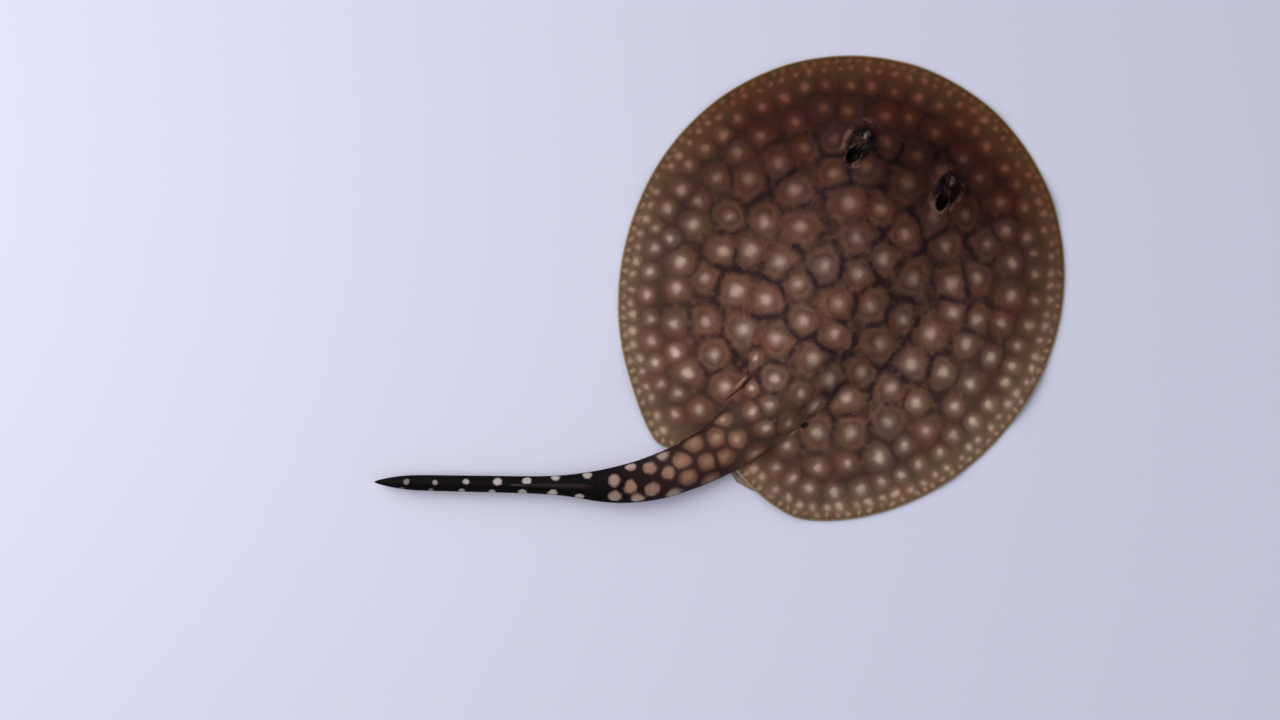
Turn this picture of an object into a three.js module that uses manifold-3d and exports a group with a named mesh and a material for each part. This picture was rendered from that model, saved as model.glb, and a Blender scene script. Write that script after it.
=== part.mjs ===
// A young freshwater stingray at rest, life size, as a still model.
// The ray lies on its belly: +Z is up, the snout points to -Y and the animal's left is +X.
// The origin is on the floor, under the back's midline, where the disc is widest.
import * as THREE from 'three';
import { mergeVertices } from 'three/addons/utils/BufferGeometryUtils.js';
import Module from 'manifold-3d';

const wasm = await Module();
wasm.setup();

// Driving dimensions, in millimetres
const discWidth = 150;
const snoutReach = 77.6;
const rearReach = 84.3; // half length of the ellipse that the rear margin follows
const rearMargin = 79.3; // where that ellipse is cut off by the straight rear margin
const lobeCorner = { left: 50, right: 36 }; // how far out the straight margin rounds off
const lobeEnd = { run: 6, clearance: 3.3, turn: 0.55 }; // the lobe's inner end, turning in to the tail
const marginThickness = 1;
const marginRound = 1.1; // the edge's rounding reaches this far in
// How thick the fins' sheet grows inwards, and how fast
const finRoot = { front: 8, rear: 2.1, reach: 29, ease: 1.5, thinFrom: -5, thinTo: 55 };
// How sharply the back rounds off to the flank: a smooth swell in front, a steep side at the tail
const backRound = { front: 1.7, rear: 0.5, steepFrom: 12, steepTo: 56 };
const gap = 0.3; // between neighbouring pieces

// The midline runs straight back, bends to the animal's left and ends straight.
// A station is the distance along it from the origin, positive to the rear.
const bend = { start: 32, radius: 80, angle: THREE.MathUtils.degToRad(62.5) };
const tailTip = 192.5;
const headCentre = -30;
const headReach = 35; // from the head's centre to the front of its raised part
const headHalfWidth = 32;
const notch = { left: 88.5, right: 71.5, middle: 80 }; // where the disc lets go of the tail

// Rays fan from the midline to the margin as a fin's own rays do
const fanStart = -38;
const fanEase = 1.4; // spreads the rays more and more widely to the rear
const raysOfDisc = { front: 15, rear: 13, corner: 4, back: 6 };
const ringsOfTail = 32;
const rowsOfBody = 6;
const rowsOfFin = 6;
const tailSweep = { straight: 0.3, freed: 0.2 }; // shares of the tail in which its rings square up
const tailKeels = { start: 128, full: 150, fade: 176, end: 190, pinch: 0.35 };

// The raised body and the tail: half width, height of the back and of the underside
const bodyLine = [
  { station: -30, half: headHalfWidth, top: 16.6, under: 0 },
  { station: -8, half: 33.5, top: 17.8, under: 0 },
  { station: 12, half: 31, top: 16.7, under: 0 },
  { station: 30, half: 21.5, top: 14.3, under: 0.1 },
  { station: 44, half: 14.2, top: 12.2, under: 0.2 },
  { station: 56, half: 11.3, top: 10.9, under: 0.2 },
  { station: 74, half: 9.1, top: 9.9, under: 0.3 },
  { station: 84, half: 8.2, top: 9.6, under: 0.9 },
  { station: 96, half: 7.5, top: 9.2, under: 2.4 },
  { station: 108, half: 6.4, top: 8.7, under: 2.6 },
  { station: 116, half: 5.3, top: 8.3, under: 2.6 },
  { station: 124, half: 4, top: 7.8, under: 2.6 },
  { station: 132, half: 3.2, top: 7.4, under: 2.6 },
  { station: 144, half: 2.9, top: 7.2, under: 2.5 },
  { station: 166, half: 2.75, top: 6.8, under: 2.4 },
  { station: 180, half: 2.5, top: 5.9, under: 2.5 },
  { station: 187, half: 1.6, top: 5.1, under: 2.9 },
  { station: tailTip, half: 0.3, top: 4.2, under: 3.4 },
];

// Cuts between the lengths of the body, as stations of the midline
const neck = 12;
const tailRoot = 52;
const tailCuts = [116, 152];

// Head
const lean = 1.2; // the head is held this much to its left of the disc's middle
const eye = { side: 15.4, station: -45, height: 11.3, radius: 2.45 };
const eyeKnob = { side: 14.4, station: -43.9, height: 9.6, half: [4.1, 5, 3.7] };
const spiracle = { side: 16.6, station: -38.2, height: 11.8, half: [1.9, 3.4, 2.8] };
const mouth = { station: -47.5, half: [6, 1, 1.2] };
const nostril = { side: 4.6, station: -53, half: [1.6, 1, 0.9] };
const gills = {
  count: 5, frontSide: 17, rearSide: 12.5, frontStation: -32, rearStation: -14,
  half: [1.9, 0.35, 0.9], turn: 0.25,
};
const ventHole = { station: 45, half: [0.9, 2.2, 0.9] };

// Small fins beside the vent, tucked under the disc; their edges as [station, aside]
const pelvic = {
  edge: [[48, 12], [53, 21.5], [60, 27.5], [66, 26], [70, 20], [73.5, 13]],
  rootAside: 9.4, rootFront: 47.5, rootRear: 73, thickness: 1, thinnest: 0.6, edgeRound: 0.35,
  rays: 14, rows: 5,
};
const sting = {
  root: 117, tip: 146, width: 2.3, height: 1.1, steps: 12, rows: 4,
  rootTaper: 0.12, pointTaper: 0.45, narrowest: 0.14, lowest: 0.3, bevel: 0.7,
};

// Flats at floor level, on which the ray rests
const restingPads = [
  { x: 0, y: -2, radius: 17 },
  { x: 0, y: -50, radius: 11 },
  { x: 54, y: 6, radius: 11 },
  { x: -54, y: 6, radius: 11 },
  { x: 42, y: -42, radius: 10 },
  { x: -42, y: -42, radius: 10 },
  { x: 44, y: 46, radius: 9 },
  { x: -44, y: 46, radius: 9 },
];
const bellyLift = 0.3; // of the underside between the pads
const padSlope = 8; // over which the underside comes down to a pad
// Room for the pelvic fins under the disc, with its distances aside and its stations
const pocket = { lift: 1, inner: 5.5, innerFull: 8.5, outerFull: 33, outer: 38, front: 44, frontFull: 48 };

// Colours
const skinBrown = { color: 0x5e4238, roughness: 0.55, metalness: 0 };
const headBrown = { color: 0x4a2a20, roughness: 0.55, metalness: 0 };
const finBrown = { color: 0x6a4b3a, roughness: 0.55, metalness: 0 };
const pelvicTan = { color: 0x9a7c62, roughness: 0.6, metalness: 0 };
const tailDark = { color: 0x2a1c1c, roughness: 0.5, metalness: 0 };
const eyeBlack = { color: 0x0c0a09, roughness: 0.12, metalness: 0 };
const stingSheath = { color: 0x3a2730, roughness: 0.5, metalness: 0 };

const { clamp, lerp, smoothstep } = THREE.MathUtils;

// ---- The midline, and places given by station and distance to the animal's left ----

function headingAt(station) {
  return clamp((station - bend.start) / bend.radius, 0, bend.angle);
}

function place(station, aside) {
  const heading = headingAt(station);
  const past = Math.max(station - bend.start - bend.radius * bend.angle, 0);
  const x = bend.radius * (1 - Math.cos(heading)) + past * Math.sin(heading);
  const y = Math.min(station, bend.start) + bend.radius * Math.sin(heading) + past * Math.cos(heading);
  return new THREE.Vector2(x + aside * Math.cos(heading), y - aside * Math.sin(heading));
}

// The station and distance aside of a point of the disc
function locate(point) {
  if (point.y < bend.start) {
    return { station: point.y, aside: point.x };
  }
  const back = point.y - bend.start;
  const inward = bend.radius - point.x;
  const station = bend.start + bend.radius * Math.atan2(back, inward);
  return { station, aside: bend.radius - Math.hypot(inward, back) };
}

// A smooth curve through one column of the body line
function along(column, station) {
  const last = bodyLine.length - 1;
  const q = clamp(station, bodyLine[0].station, bodyLine[last].station);
  let k = 0;
  while (k < last - 1 && bodyLine[k + 1].station < q) {
    k += 1;
  }
  const slope = (i) => {
    const before = bodyLine[Math.max(i - 1, 0)];
    const after = bodyLine[Math.min(i + 1, last)];
    return (after[column] - before[column]) / (after.station - before.station);
  };
  const from = bodyLine[k];
  const to = bodyLine[k + 1];
  const span = to.station - from.station;
  const t = (q - from.station) / span;
  const bow = (slope(k) * span * (1 - t) - slope(k + 1) * span * t) * t * (1 - t);
  const ease = t * t * (3 - 2 * t);
  return lerp(from[column], to[column], ease) + bow;
}

// 0 on the midline (or at the head's centre), 1 on the flank
function acrossBody(station, aside) {
  if (station < headCentre) {
    return Math.hypot(aside / headHalfWidth, (station - headCentre) / headReach);
  }
  return Math.abs(aside) / along('half', station);
}

// ---- The margin of one half of the disc, from the snout to where it meets the tail ----

function marginOf(side) {
  const half = discWidth / 2;
  const sideName = side > 0 ? 'left' : 'right';
  const meet = notch[sideName];
  const edge = place(meet, side * along('half', meet));
  edge.x *= side;
  const corner = lobeCorner[sideName];
  const cornerAngle = Math.acos(corner / half);
  const cornerStart = new THREE.Vector2(corner, rearReach * Math.sin(cornerAngle));
  const reach = (rearMargin - cornerStart.y) / (rearReach * Math.cos(cornerAngle));
  const cornerTip = new THREE.Vector2(corner - reach * half * Math.sin(cornerAngle), rearMargin);
  const innerEnd = Math.max(cornerTip.x - lobeEnd.run, edge.x + lobeEnd.clearance);
  const cornerEnd = new THREE.Vector2(innerEnd, rearMargin);
  const inward = new THREE.Vector2(lerp(innerEnd, edge.x, lobeEnd.turn), rearMargin);
  const pieces = [
    [new THREE.EllipseCurve(0, 0, half, snoutReach, -Math.PI / 2, 0), raysOfDisc.front],
    [new THREE.EllipseCurve(0, 0, half, rearReach, 0, cornerAngle), raysOfDisc.rear],
    [new THREE.QuadraticBezierCurve(cornerStart, cornerTip, cornerEnd), raysOfDisc.corner],
    [new THREE.QuadraticBezierCurve(cornerEnd, inward, edge), raysOfDisc.back],
  ];
  const points = [pieces[0][0].getPoint(0)];
  for (const [curve, steps] of pieces) {
    points.push(...curve.getPoints(steps).slice(1));
  }
  return points.map((point) => new THREE.Vector2(point.x * side, point.y));
}

const margins = { left: marginOf(1), right: marginOf(-1) };
const rayCount = margins.left.length - 1;

function sample(points, index) {
  const k = Math.min(Math.floor(index), points.length - 2);
  return points[k].clone().lerp(points[k + 1], index - k);
}

// The station where ray number `index` leaves the midline
function raySpine(index) {
  return fanStart + (notch.middle - fanStart) * (index / rayCount) ** fanEase;
}

// Where ray number `index` of one side starts, crosses the flank and ends
function ray(side, index) {
  const start = place(raySpine(index), 0);
  const end = sample(side > 0 ? margins.left : margins.right, index);
  let low = 0;
  let high = 1;
  for (let step = 0; step < 30; step += 1) {
    const middle = (low + high) / 2;
    const spot = locate(start.clone().lerp(end, middle));
    if (acrossBody(spot.station, spot.aside) < 1) {
      low = middle;
    } else {
      high = middle;
    }
  }
  const crossing = index === rayCount ? 1 : low;
  return { start, end, crossing, length: start.distanceTo(end) };
}

// ---- Heights ----

// The underside: flat pads at floor level, a slight lift between them, pockets for the pelvic fins
function underside(station, aside, point) {
  let lift = bellyLift;
  for (const pad of restingPads) {
    const away = Math.hypot(point.x - pad.x, point.y - pad.y);
    lift = Math.min(lift, bellyLift * smoothstep(away, pad.radius, pad.radius + padSlope));
  }
  const out = Math.abs(aside);
  const within = smoothstep(out, pocket.inner, pocket.innerFull);
  const beyond = smoothstep(out, pocket.outerFull, pocket.outer);
  return lift + pocket.lift * within * (1 - beyond) * smoothstep(station, pocket.front, pocket.frontFull);
}

function backExponent(station) {
  return lerp(backRound.front, backRound.rear, smoothstep(station, backRound.steepFrom, backRound.steepTo));
}

// Bottom and top of the disc at a point, `inset` from the margin along its ray
function discHeights(point, inset) {
  const { station, aside } = locate(point);
  const across = Math.min(acrossBody(station, aside), 1);
  const floor = underside(station, aside, point);
  const thinning = smoothstep(station, finRoot.thinFrom, finRoot.thinTo);
  const thickest = lerp(finRoot.front, finRoot.rear, thinning);
  const growth = 1 - Math.exp(-((Math.max(inset, 0) / finRoot.reach) ** finRoot.ease));
  const sheet = marginThickness + (thickest - marginThickness) * growth;
  const rise = along('top', station) - sheet - floor;
  const swell = rise * (1 - across * across) ** backExponent(station);
  const round = Math.sqrt(1 - (1 - Math.min(inset / marginRound, 1)) ** 2);
  const bottom = floor + sheet * 0.5 * (1 - round);
  return { bottom, top: floor + sheet * 0.5 * (1 + round) + swell };
}

// Bottom and top of the free tail, `across` from -1 to 1 and `freed` from 0 at the notch to 1
function tailHeights(station, across, freed) {
  const edgeAtNotch = bellyLift + pocket.lift + marginThickness / 2;
  const top = along('top', station);
  const under = along('under', station);
  const edge = lerp(edgeAtNotch, (top + under) / 2, freed);
  const keelRise = smoothstep(station, tailKeels.start, tailKeels.full);
  const keel = keelRise * (1 - smoothstep(station, tailKeels.fade, tailKeels.end));
  const crown = Math.sqrt(Math.max(1 - across * across, 0));
  const pinch = lerp(crown, crown ** 3, tailKeels.pinch * keel);
  return { bottom: edge - (edge - under) * pinch, top: edge + (top - edge) * pinch };
}

// ---- Closed solids from rows of sections ----

// Each section is a list of {point, bottom, top} from one side to the other. The solid's skin
// joins neighbouring sections above and below, and walls close its sides and ends. A folded
// front, whose first section runs out along a line and back, needs no wall there.
function solidOf(sections, foldedFront = false) {
  const corners = [];
  const vertex = (cell, level) => [cell.point.x, cell.point.y, cell[level]];
  const triangle = (a, b, c) => corners.push(...a, ...c, ...b);
  const quad = (a, b, c, d) => {
    triangle(a, b, c);
    triangle(a, c, d);
  };
  const wall = (a, b) => {
    quad(vertex(a, 'bottom'), vertex(b, 'bottom'), vertex(b, 'top'), vertex(a, 'top'));
  };
  const wide = sections[0].length - 1;
  for (let i = 0; i + 1 < sections.length; i += 1) {
    const near = sections[i];
    const far = sections[i + 1];
    for (let j = 0; j < wide; j += 1) {
      quad(...[near[j], near[j + 1], far[j + 1], far[j]].map((cell) => vertex(cell, 'top')));
      quad(...[near[j], far[j], far[j + 1], near[j + 1]].map((cell) => vertex(cell, 'bottom')));
    }
    wall(far[0], near[0]);
    wall(near[wide], far[wide]);
  }
  const last = sections.length - 1;
  for (let j = 0; j < wide; j += 1) {
    if (!foldedFront) {
      wall(sections[0][j], sections[0][j + 1]);
    }
    wall(sections[last][j + 1], sections[last][j]);
  }
  return closedGeometry(corners);
}

// Merges shared corners and drops the triangles that have shrunk to a line
function closedGeometry(corners) {
  const loose = new THREE.BufferGeometry();
  loose.setAttribute('position', new THREE.Float32BufferAttribute(corners, 3));
  const merged = mergeVertices(loose, 1e-3);
  const index = merged.index.array;
  const kept = [];
  for (let k = 0; k < index.length; k += 3) {
    const [a, b, c] = index.slice(k, k + 3);
    if (a !== b && b !== c && c !== a) {
      kept.push(a, b, c);
    }
  }
  merged.setIndex(kept);
  return merged;
}

// ---- Body, fins and tail ----

// The cells of a half ray between the fractions `from` and `to` of its length
function halfRay(side, index, from, to, rows, spacing) {
  const { start, end, length } = ray(side, index);
  const cells = [];
  for (let k = 0; k <= rows; k += 1) {
    const part = lerp(from, to, spacing(k / rows));
    const point = start.clone().lerp(end, part);
    cells.push({ point, ...discHeights(point, (1 - part) * length) });
  }
  return cells;
}

// One section of the raised body, from the left flank over the midline to the right flank
function bodySection(index) {
  const spaced = (t) => lerp(t, Math.sin(t * Math.PI / 2), smoothstep(index / rayCount, 0.6, 1));
  const half = (side) => {
    const { crossing, length } = ray(side, index);
    const inner = crossing - (index < rayCount ? gap / 2 / length : 0);
    return halfRay(side, index, 0, inner, rowsOfBody, spaced);
  };
  return [...half(1).reverse(), ...half(-1).slice(1)];
}

function tailSection(step) {
  const middle = lerp(notch.middle, tailTip, step / ringsOfTail);
  const swept = 1 - smoothstep(step / ringsOfTail, 0, tailSweep.straight);
  const freed = smoothstep(step / ringsOfTail, 0, tailSweep.freed);
  const cells = [];
  for (let k = -rowsOfBody; k <= rowsOfBody; k += 1) {
    const across = -Math.sin((k / rowsOfBody) * (Math.PI / 2));
    const lead = across > 0 ? notch.left - notch.middle : notch.right - notch.middle;
    const station = middle + lead * swept * Math.abs(across);
    const point = place(station, across * along('half', station));
    cells.push({ point, ...tailHeights(station, across, freed) });
  }
  return cells;
}

// A pectoral fin, from the flank to the margin, on every ray of one side
function pectoralFin(side) {
  const sections = [];
  const spaced = (t) => Math.sin(t * Math.PI / 2);
  for (let index = 0; index <= rayCount; index += 1) {
    const { crossing, length } = ray(side, index);
    const inner = Math.min(crossing + gap / 2 / length, 1);
    const cells = halfRay(side, index, inner, 1, rowsOfFin, spaced);
    if (index === 0) {
      cells.forEach((cell) => cell.point.setX(side * gap / 2));
    }
    sections.push(side > 0 ? cells.reverse() : cells);
  }
  return solidOf(sections);
}

// Consecutive body sections from one ray to another, each end short of its cut by half the gap
function bodyRun(from, to) {
  const half = (index) => gap / 2 / (raySpine(index) - raySpine(index - 1));
  const sections = [bodySection(from === 0 ? 0 : from + half(from))];
  for (let index = from + 1; index < to; index += 1) {
    sections.push(bodySection(index));
  }
  sections.push(bodySection(to - half(to)));
  return sections;
}

function tailRun(from, to) {
  const half = gap / 2 / ((tailTip - notch.middle) / ringsOfTail);
  const sections = [tailSection(from + half)];
  for (let step = from + 1; step < to; step += 1) {
    sections.push(tailSection(step));
  }
  sections.push(tailSection(to === ringsOfTail ? to : to - half));
  return sections;
}

function rayAt(station) {
  let index = 0;
  while (raySpine(index) < station) {
    index += 1;
  }
  return index;
}

function ringAt(station) {
  return Math.round(ringsOfTail * (station - notch.middle) / (tailTip - notch.middle));
}

// A pelvic fin: rays from its root beside the vent to its rounded edge, flat on the floor
function pelvicFin(side) {
  const edge = new THREE.CatmullRomCurve3(pelvic.edge.map(([s, out]) => new THREE.Vector3(s, out, 0)));
  const sections = [];
  for (let k = 0; k <= pelvic.rays; k += 1) {
    const part = k / pelvic.rays;
    const tip = edge.getPoint(part);
    const root = lerp(pelvic.rootFront, pelvic.rootRear, part);
    const cells = [];
    for (let row = 0; row <= pelvic.rows; row += 1) {
      const out = Math.sin((row / pelvic.rows) * Math.PI / 2);
      const point = place(lerp(root, tip.x, out), side * lerp(pelvic.rootAside, tip.y, out));
      const thick = lerp(pelvic.thickness, pelvic.thinnest, out);
      const lift = row === pelvic.rows ? thick * pelvic.edgeRound : 0;
      cells.push({ point, bottom: lift, top: thick - lift });
    }
    sections.push(side > 0 ? cells.reverse() : cells);
  }
  return solidOf(sections);
}

// The sheathed sting: a flat spike along the back of the tail, pointing at its tip
function stingSheathSolid() {
  const sections = [];
  for (let k = 0; k <= sting.steps; k += 1) {
    const part = k / sting.steps;
    const station = lerp(sting.root, sting.tip, part);
    const full = Math.sqrt(Math.min(part / sting.rootTaper, 1)) * (1 - part) ** sting.pointTaper;
    const half = sting.width / 2 * Math.max(full, sting.narrowest);
    const seat = along('top', station) + gap;
    const cells = [];
    for (let row = 0; row <= sting.rows; row += 1) {
      const across = 1 - 2 * row / sting.rows;
      const height = sting.height * Math.max(full, sting.lowest) * (1 - sting.bevel * across * across);
      cells.push({ point: place(station, across * half), bottom: seat, top: seat + height });
    }
    sections.push(cells);
  }
  return solidOf(sections);
}

// ---- Joining and cutting with whole solids ----

function toSolid(geometry) {
  const bare = geometry.clone();
  bare.deleteAttribute('normal');
  bare.deleteAttribute('uv');
  const merged = closedGeometry(Array.from(bare.toNonIndexed().attributes.position.array));
  const vertProperties = new Float32Array(merged.attributes.position.array);
  const triVerts = new Uint32Array(merged.index.array);
  return new wasm.Manifold(new wasm.Mesh({ numProp: 3, vertProperties, triVerts }));
}

function toGeometry(solid) {
  const mesh = solid.getMesh();
  const geometry = new THREE.BufferGeometry();
  geometry.setAttribute('position', new THREE.BufferAttribute(mesh.vertProperties, 3));
  geometry.setIndex(new THREE.BufferAttribute(mesh.triVerts, 1));
  return geometry;
}

// An egg-shaped solid of the given half sizes, turned about the vertical
function egg(half, centre, turn = 0, detail = [12, 8]) {
  const shape = new THREE.SphereGeometry(1, ...detail);
  shape.rotateX(Math.PI / 2);
  shape.scale(...half);
  shape.rotateZ(turn);
  shape.translate(...centre);
  return toSolid(shape);
}

// ---- The head's features, on both sides ----

function eyeball(side, extra = 0) {
  const r = eye.radius + extra;
  return egg([r, r, r], [side * eye.side + lean, eye.station, eye.height], 0, [14, 10]);
}

function headSolid() {
  let head = toSolid(solidOf(bodyRun(0, rayAt(neck)), true));
  for (const side of [-1, 1]) {
    head = head.add(egg(eyeKnob.half, [side * eyeKnob.side + lean, eyeKnob.station, eyeKnob.height]));
    const hole = [side * spiracle.side + lean, spiracle.station, spiracle.height];
    head = head.subtract(egg(spiracle.half, hole));
    head = head.subtract(eyeball(side, gap));
    head = head.subtract(egg(nostril.half, [side * nostril.side, nostril.station, 0], 0, [8, 6]));
    for (let slit = 0; slit < gills.count; slit += 1) {
      const part = slit / (gills.count - 1);
      const out = lerp(gills.frontSide, gills.rearSide, part);
      const station = lerp(gills.frontStation, gills.rearStation, part);
      head = head.subtract(egg(gills.half, [side * out, station, 0], side * gills.turn, [8, 4]));
    }
  }
  return head.subtract(egg(mouth.half, [0, mouth.station, 0], 0, [12, 6]));
}

const vent = egg(ventHole.half, [0, ventHole.station, 0], 0, [8, 6]);
const trunk = toSolid(solidOf(bodyRun(rayAt(neck), rayAt(tailRoot)))).subtract(vent);
const rootSections = bodyRun(rayAt(tailRoot), rayCount);
const [firstCut, secondCut] = tailCuts.map(ringAt);

// ---- The model ----

const stingray = new THREE.Group();
function add(name, geometry, finish) {
  const mesh = new THREE.Mesh(geometry, new THREE.MeshStandardMaterial(finish));
  mesh.name = name;
  stingray.add(mesh);
}

add('head', toGeometry(headSolid()), headBrown);
add('trunk', toGeometry(trunk), skinBrown);
add('tail_root', solidOf(rootSections), skinBrown);
add('tail_base', solidOf(tailRun(0, firstCut)), tailDark);
add('tail_middle', solidOf(tailRun(firstCut, secondCut)), tailDark);
add('tail_tip', solidOf(tailRun(secondCut, ringsOfTail)), tailDark);
add('tail_sting', stingSheathSolid(), stingSheath);
for (const [name, side] of [['left', 1], ['right', -1]]) {
  add(`pectoral_fin_${name}`, pectoralFin(side), finBrown);
  add(`pelvic_fin_${name}`, pelvicFin(side), pelvicTan);
  add(`eye_${name}`, toGeometry(eyeball(side)), eyeBlack);
}

export default stingray;
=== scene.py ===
# %% [markdown]
# # A young freshwater stingray
#
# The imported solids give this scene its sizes. They are cut into head, trunk, fins and lengths
# of tail, but a living ray shows no cuts, so one skin is worked out here that runs over all of
# them, and only the eyes and the sting stay pieces of their own.

import bpy
import numpy as np
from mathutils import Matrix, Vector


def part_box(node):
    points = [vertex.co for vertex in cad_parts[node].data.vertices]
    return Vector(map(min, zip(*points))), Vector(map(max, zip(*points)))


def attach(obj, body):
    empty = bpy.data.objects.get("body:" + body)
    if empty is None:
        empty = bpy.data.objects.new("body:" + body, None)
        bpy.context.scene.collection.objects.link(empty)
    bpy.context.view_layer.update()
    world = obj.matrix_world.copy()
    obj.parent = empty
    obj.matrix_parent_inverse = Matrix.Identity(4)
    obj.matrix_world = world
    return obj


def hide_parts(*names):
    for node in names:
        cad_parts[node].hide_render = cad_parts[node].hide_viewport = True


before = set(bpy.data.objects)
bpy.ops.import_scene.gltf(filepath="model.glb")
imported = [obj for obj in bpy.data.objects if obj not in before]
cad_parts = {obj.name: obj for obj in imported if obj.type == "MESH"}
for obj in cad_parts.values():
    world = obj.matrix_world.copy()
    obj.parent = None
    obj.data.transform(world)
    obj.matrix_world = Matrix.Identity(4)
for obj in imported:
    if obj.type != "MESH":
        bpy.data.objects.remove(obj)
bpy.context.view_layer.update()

MM = 0.001  # lengths in this script are in millimetres, and meshes are made in metres


def box_mm(node):
    """A node's lowest and highest corner, in millimetres."""
    return [np.array(corner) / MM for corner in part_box(node)]


# %% [markdown]
# ## The camera, the light and the floor
#
# The ray is looked at from straight above, with its snout turned to the upper right. A camera
# could be aimed with a constraint, but a plain matrix of its right, up and back directions
# says the same and leaves nothing live in the scene. The light is one large soft panel with
# a weaker one across from it and a broad soft sun, all well off to the sides, so that the wet
# back mirrors none of them into the camera.

# %% Camera
camera_turn = np.radians(61.5)  # from the picture's right to the ray's own front
camera_spot = np.array([48.2, 57.1, 600.0])
view_width = 438.4  # of the floor that the picture spans
sensor = 36.0

camera_data = bpy.data.cameras.new("camera")
camera_data.sensor_width = sensor
camera_data.lens = sensor * camera_spot[2] / view_width
camera_data.clip_start = 0.01
camera = bpy.data.objects.new("camera", camera_data)
right = np.array([-np.sin(camera_turn), -np.cos(camera_turn), 0])
up = np.array([np.cos(camera_turn), -np.sin(camera_turn), 0])
turned = np.eye(4)
turned[:3, 0] = right
turned[:3, 1] = up
turned[:3, 2] = np.cross(right, up)
turned[:3, 3] = camera_spot * MM
camera.matrix_world = turned.T.tolist()
bpy.context.scene.collection.objects.link(camera)
bpy.context.scene.camera = camera
print("lens", round(camera_data.lens, 1), "mm")

# %% Light
bpy.context.scene.view_settings.view_transform = "Standard"


def add_light(name, kind, size, strength, tint, across, upward, height):
    """A light placed by the picture's right and up, and aimed at the origin. size is an area
    light's side in millimetres, or the angle that the sun fills."""
    data = bpy.data.lights.new(name, kind)
    if kind == "SUN":
        data.angle = size
    else:
        data.size = size * MM
    data.energy = strength
    data.color = tint
    light = bpy.data.objects.new(name, data)
    spot = camera_spot * [1, 1, 0] + right * across + up * upward + [0, 0, height]
    back = spot / np.linalg.norm(spot)
    level = np.cross([0, 1, 0], back)
    level /= np.linalg.norm(level)
    pose = np.eye(4)
    pose[:3, 0] = level
    pose[:3, 1] = np.cross(back, level)
    pose[:3, 2] = back
    pose[:3, 3] = spot * MM
    light.matrix_world = pose.T.tolist()
    bpy.context.scene.collection.objects.link(light)
    print(name, "at", spot.round(), "mm")


add_light("light_key", "AREA", size=600, strength=3.4, tint=(1.0, 0.98, 0.97),
          across=-440, upward=90, height=520)
add_light("light_fill", "AREA", size=900, strength=2.2, tint=(0.92, 0.94, 1.0),
          across=700, upward=-300, height=800)
add_light("light_sky", "SUN", size=np.radians(50), strength=1.15, tint=(0.97, 0.97, 1.0),
          across=-500, upward=900, height=900)

world = bpy.data.worlds.new("room")
bpy.context.scene.world = world
world.use_nodes = True
glow = world.node_tree.nodes["Background"]
glow.inputs["Color"].default_value = (0.80, 0.81, 0.88, 1)
glow.inputs["Strength"].default_value = 0.30

# %% [markdown]
# ## The midline and the outline
#
# A ray's shape is a curve with a width: the midline runs straight back from the snout, bends
# to the animal's left and runs out in the tail. Each place on the body has a station, its
# distance along that midline from the origin, and a distance aside, positive to the left.
# The same few sizes as in the solids give every height and width, and only the flanks of the
# tail's root slope more gently here. Modelling by pushing vertices would lose that link, so
# every shape here is a formula on stations.

# %% Sizes
fin_low, fin_high = box_mm("pectoral_fin_left")
disc_half = fin_high[0]
snout_reach = -fin_low[1]
rear_margin = fin_high[1]
rear_reach = 84.3  # half length of the ellipse that the rear margin follows
lobe_corner = {1: 50, -1: 36}  # where the straight rear margin rounds off, left and right
lobe_end = {"run": 6, "clearance": 3.3, "turn": 0.55}  # the lobe's inner end and its way back in
margin_thickness = 1.0
margin_round = 1.1

# The fin's thickness at the body and the swell's power, in front and behind, and the stations
# between which they change: a low power has steep sides, and a high one is a dome.
fin_root = {"front": 8, "rear": 2.1, "reach": 29, "ease": 1.5, "from": -5, "to": 55}
back_round = {"front": 1.7, "rear": 0.5, "from": 12, "to": 66}

bend_start, bend_radius, bend_angle = 32, 80, np.radians(62.5)  # the midline's arc to the left
tail_tip = 192.5
head_centre, head_reach, head_half = -30, 35, 32  # the head's front is half an ellipse
notch = {1: 88.5, -1: 71.5, 0: 80}  # where the disc lets go of the tail: left, right, middle
fan_start, fan_ease = -38, 1.4  # where the first ray leaves the midline, and how the rest crowd
ray_steps = {"front": 15, "rear": 13, "corner": 4, "back": 6}  # rays to each part of the margin
last_ray = sum(ray_steps.values())

# Half width, height of the back and height of the underside by station
body_line = np.array([
    [-30, head_half, 16.6, 0], [-8, 33.5, 17.8, 0], [12, 31, 16.7, 0], [30, 21.5, 14.3, 0.1],
    [44, 14.2, 12.2, 0.2], [56, 11.3, 10.9, 0.2], [74, 9.1, 9.9, 0.3], [84, 8.2, 9.6, 0.9],
    [96, 7.5, 9.2, 2.4], [108, 6.4, 8.7, 2.6], [116, 5.3, 8.3, 2.6], [124, 4, 7.8, 2.6],
    [132, 3.2, 7.4, 2.6], [144, 2.9, 7.2, 2.5], [166, 2.75, 6.8, 2.4], [180, 2.5, 5.9, 2.5],
    [187, 1.6, 5.1, 2.9], [tail_tip, 0.3, 4.2, 3.4],
])
HALF, TOP, UNDER = 1, 2, 3  # the columns of the body line
print("disc", round(2 * float(disc_half)), "mm wide, midline",
      round(float(snout_reach + tail_tip)), "mm long")

# %% Midline


def lerp(a, b, t):
    """The value a share t of the way from a to b."""
    return a + (b - a) * t


def ease(x, low, high):
    """A smooth step from 0 at low to 1 at high."""
    t = np.clip((x - low) / (high - low), 0, 1)
    return t * t * (3 - 2 * t)


def bell(x, middle, width):
    """A smooth bump of height 1 that is a width wide to each side."""
    return np.exp(-(((x - middle) / width) ** 2))


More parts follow.
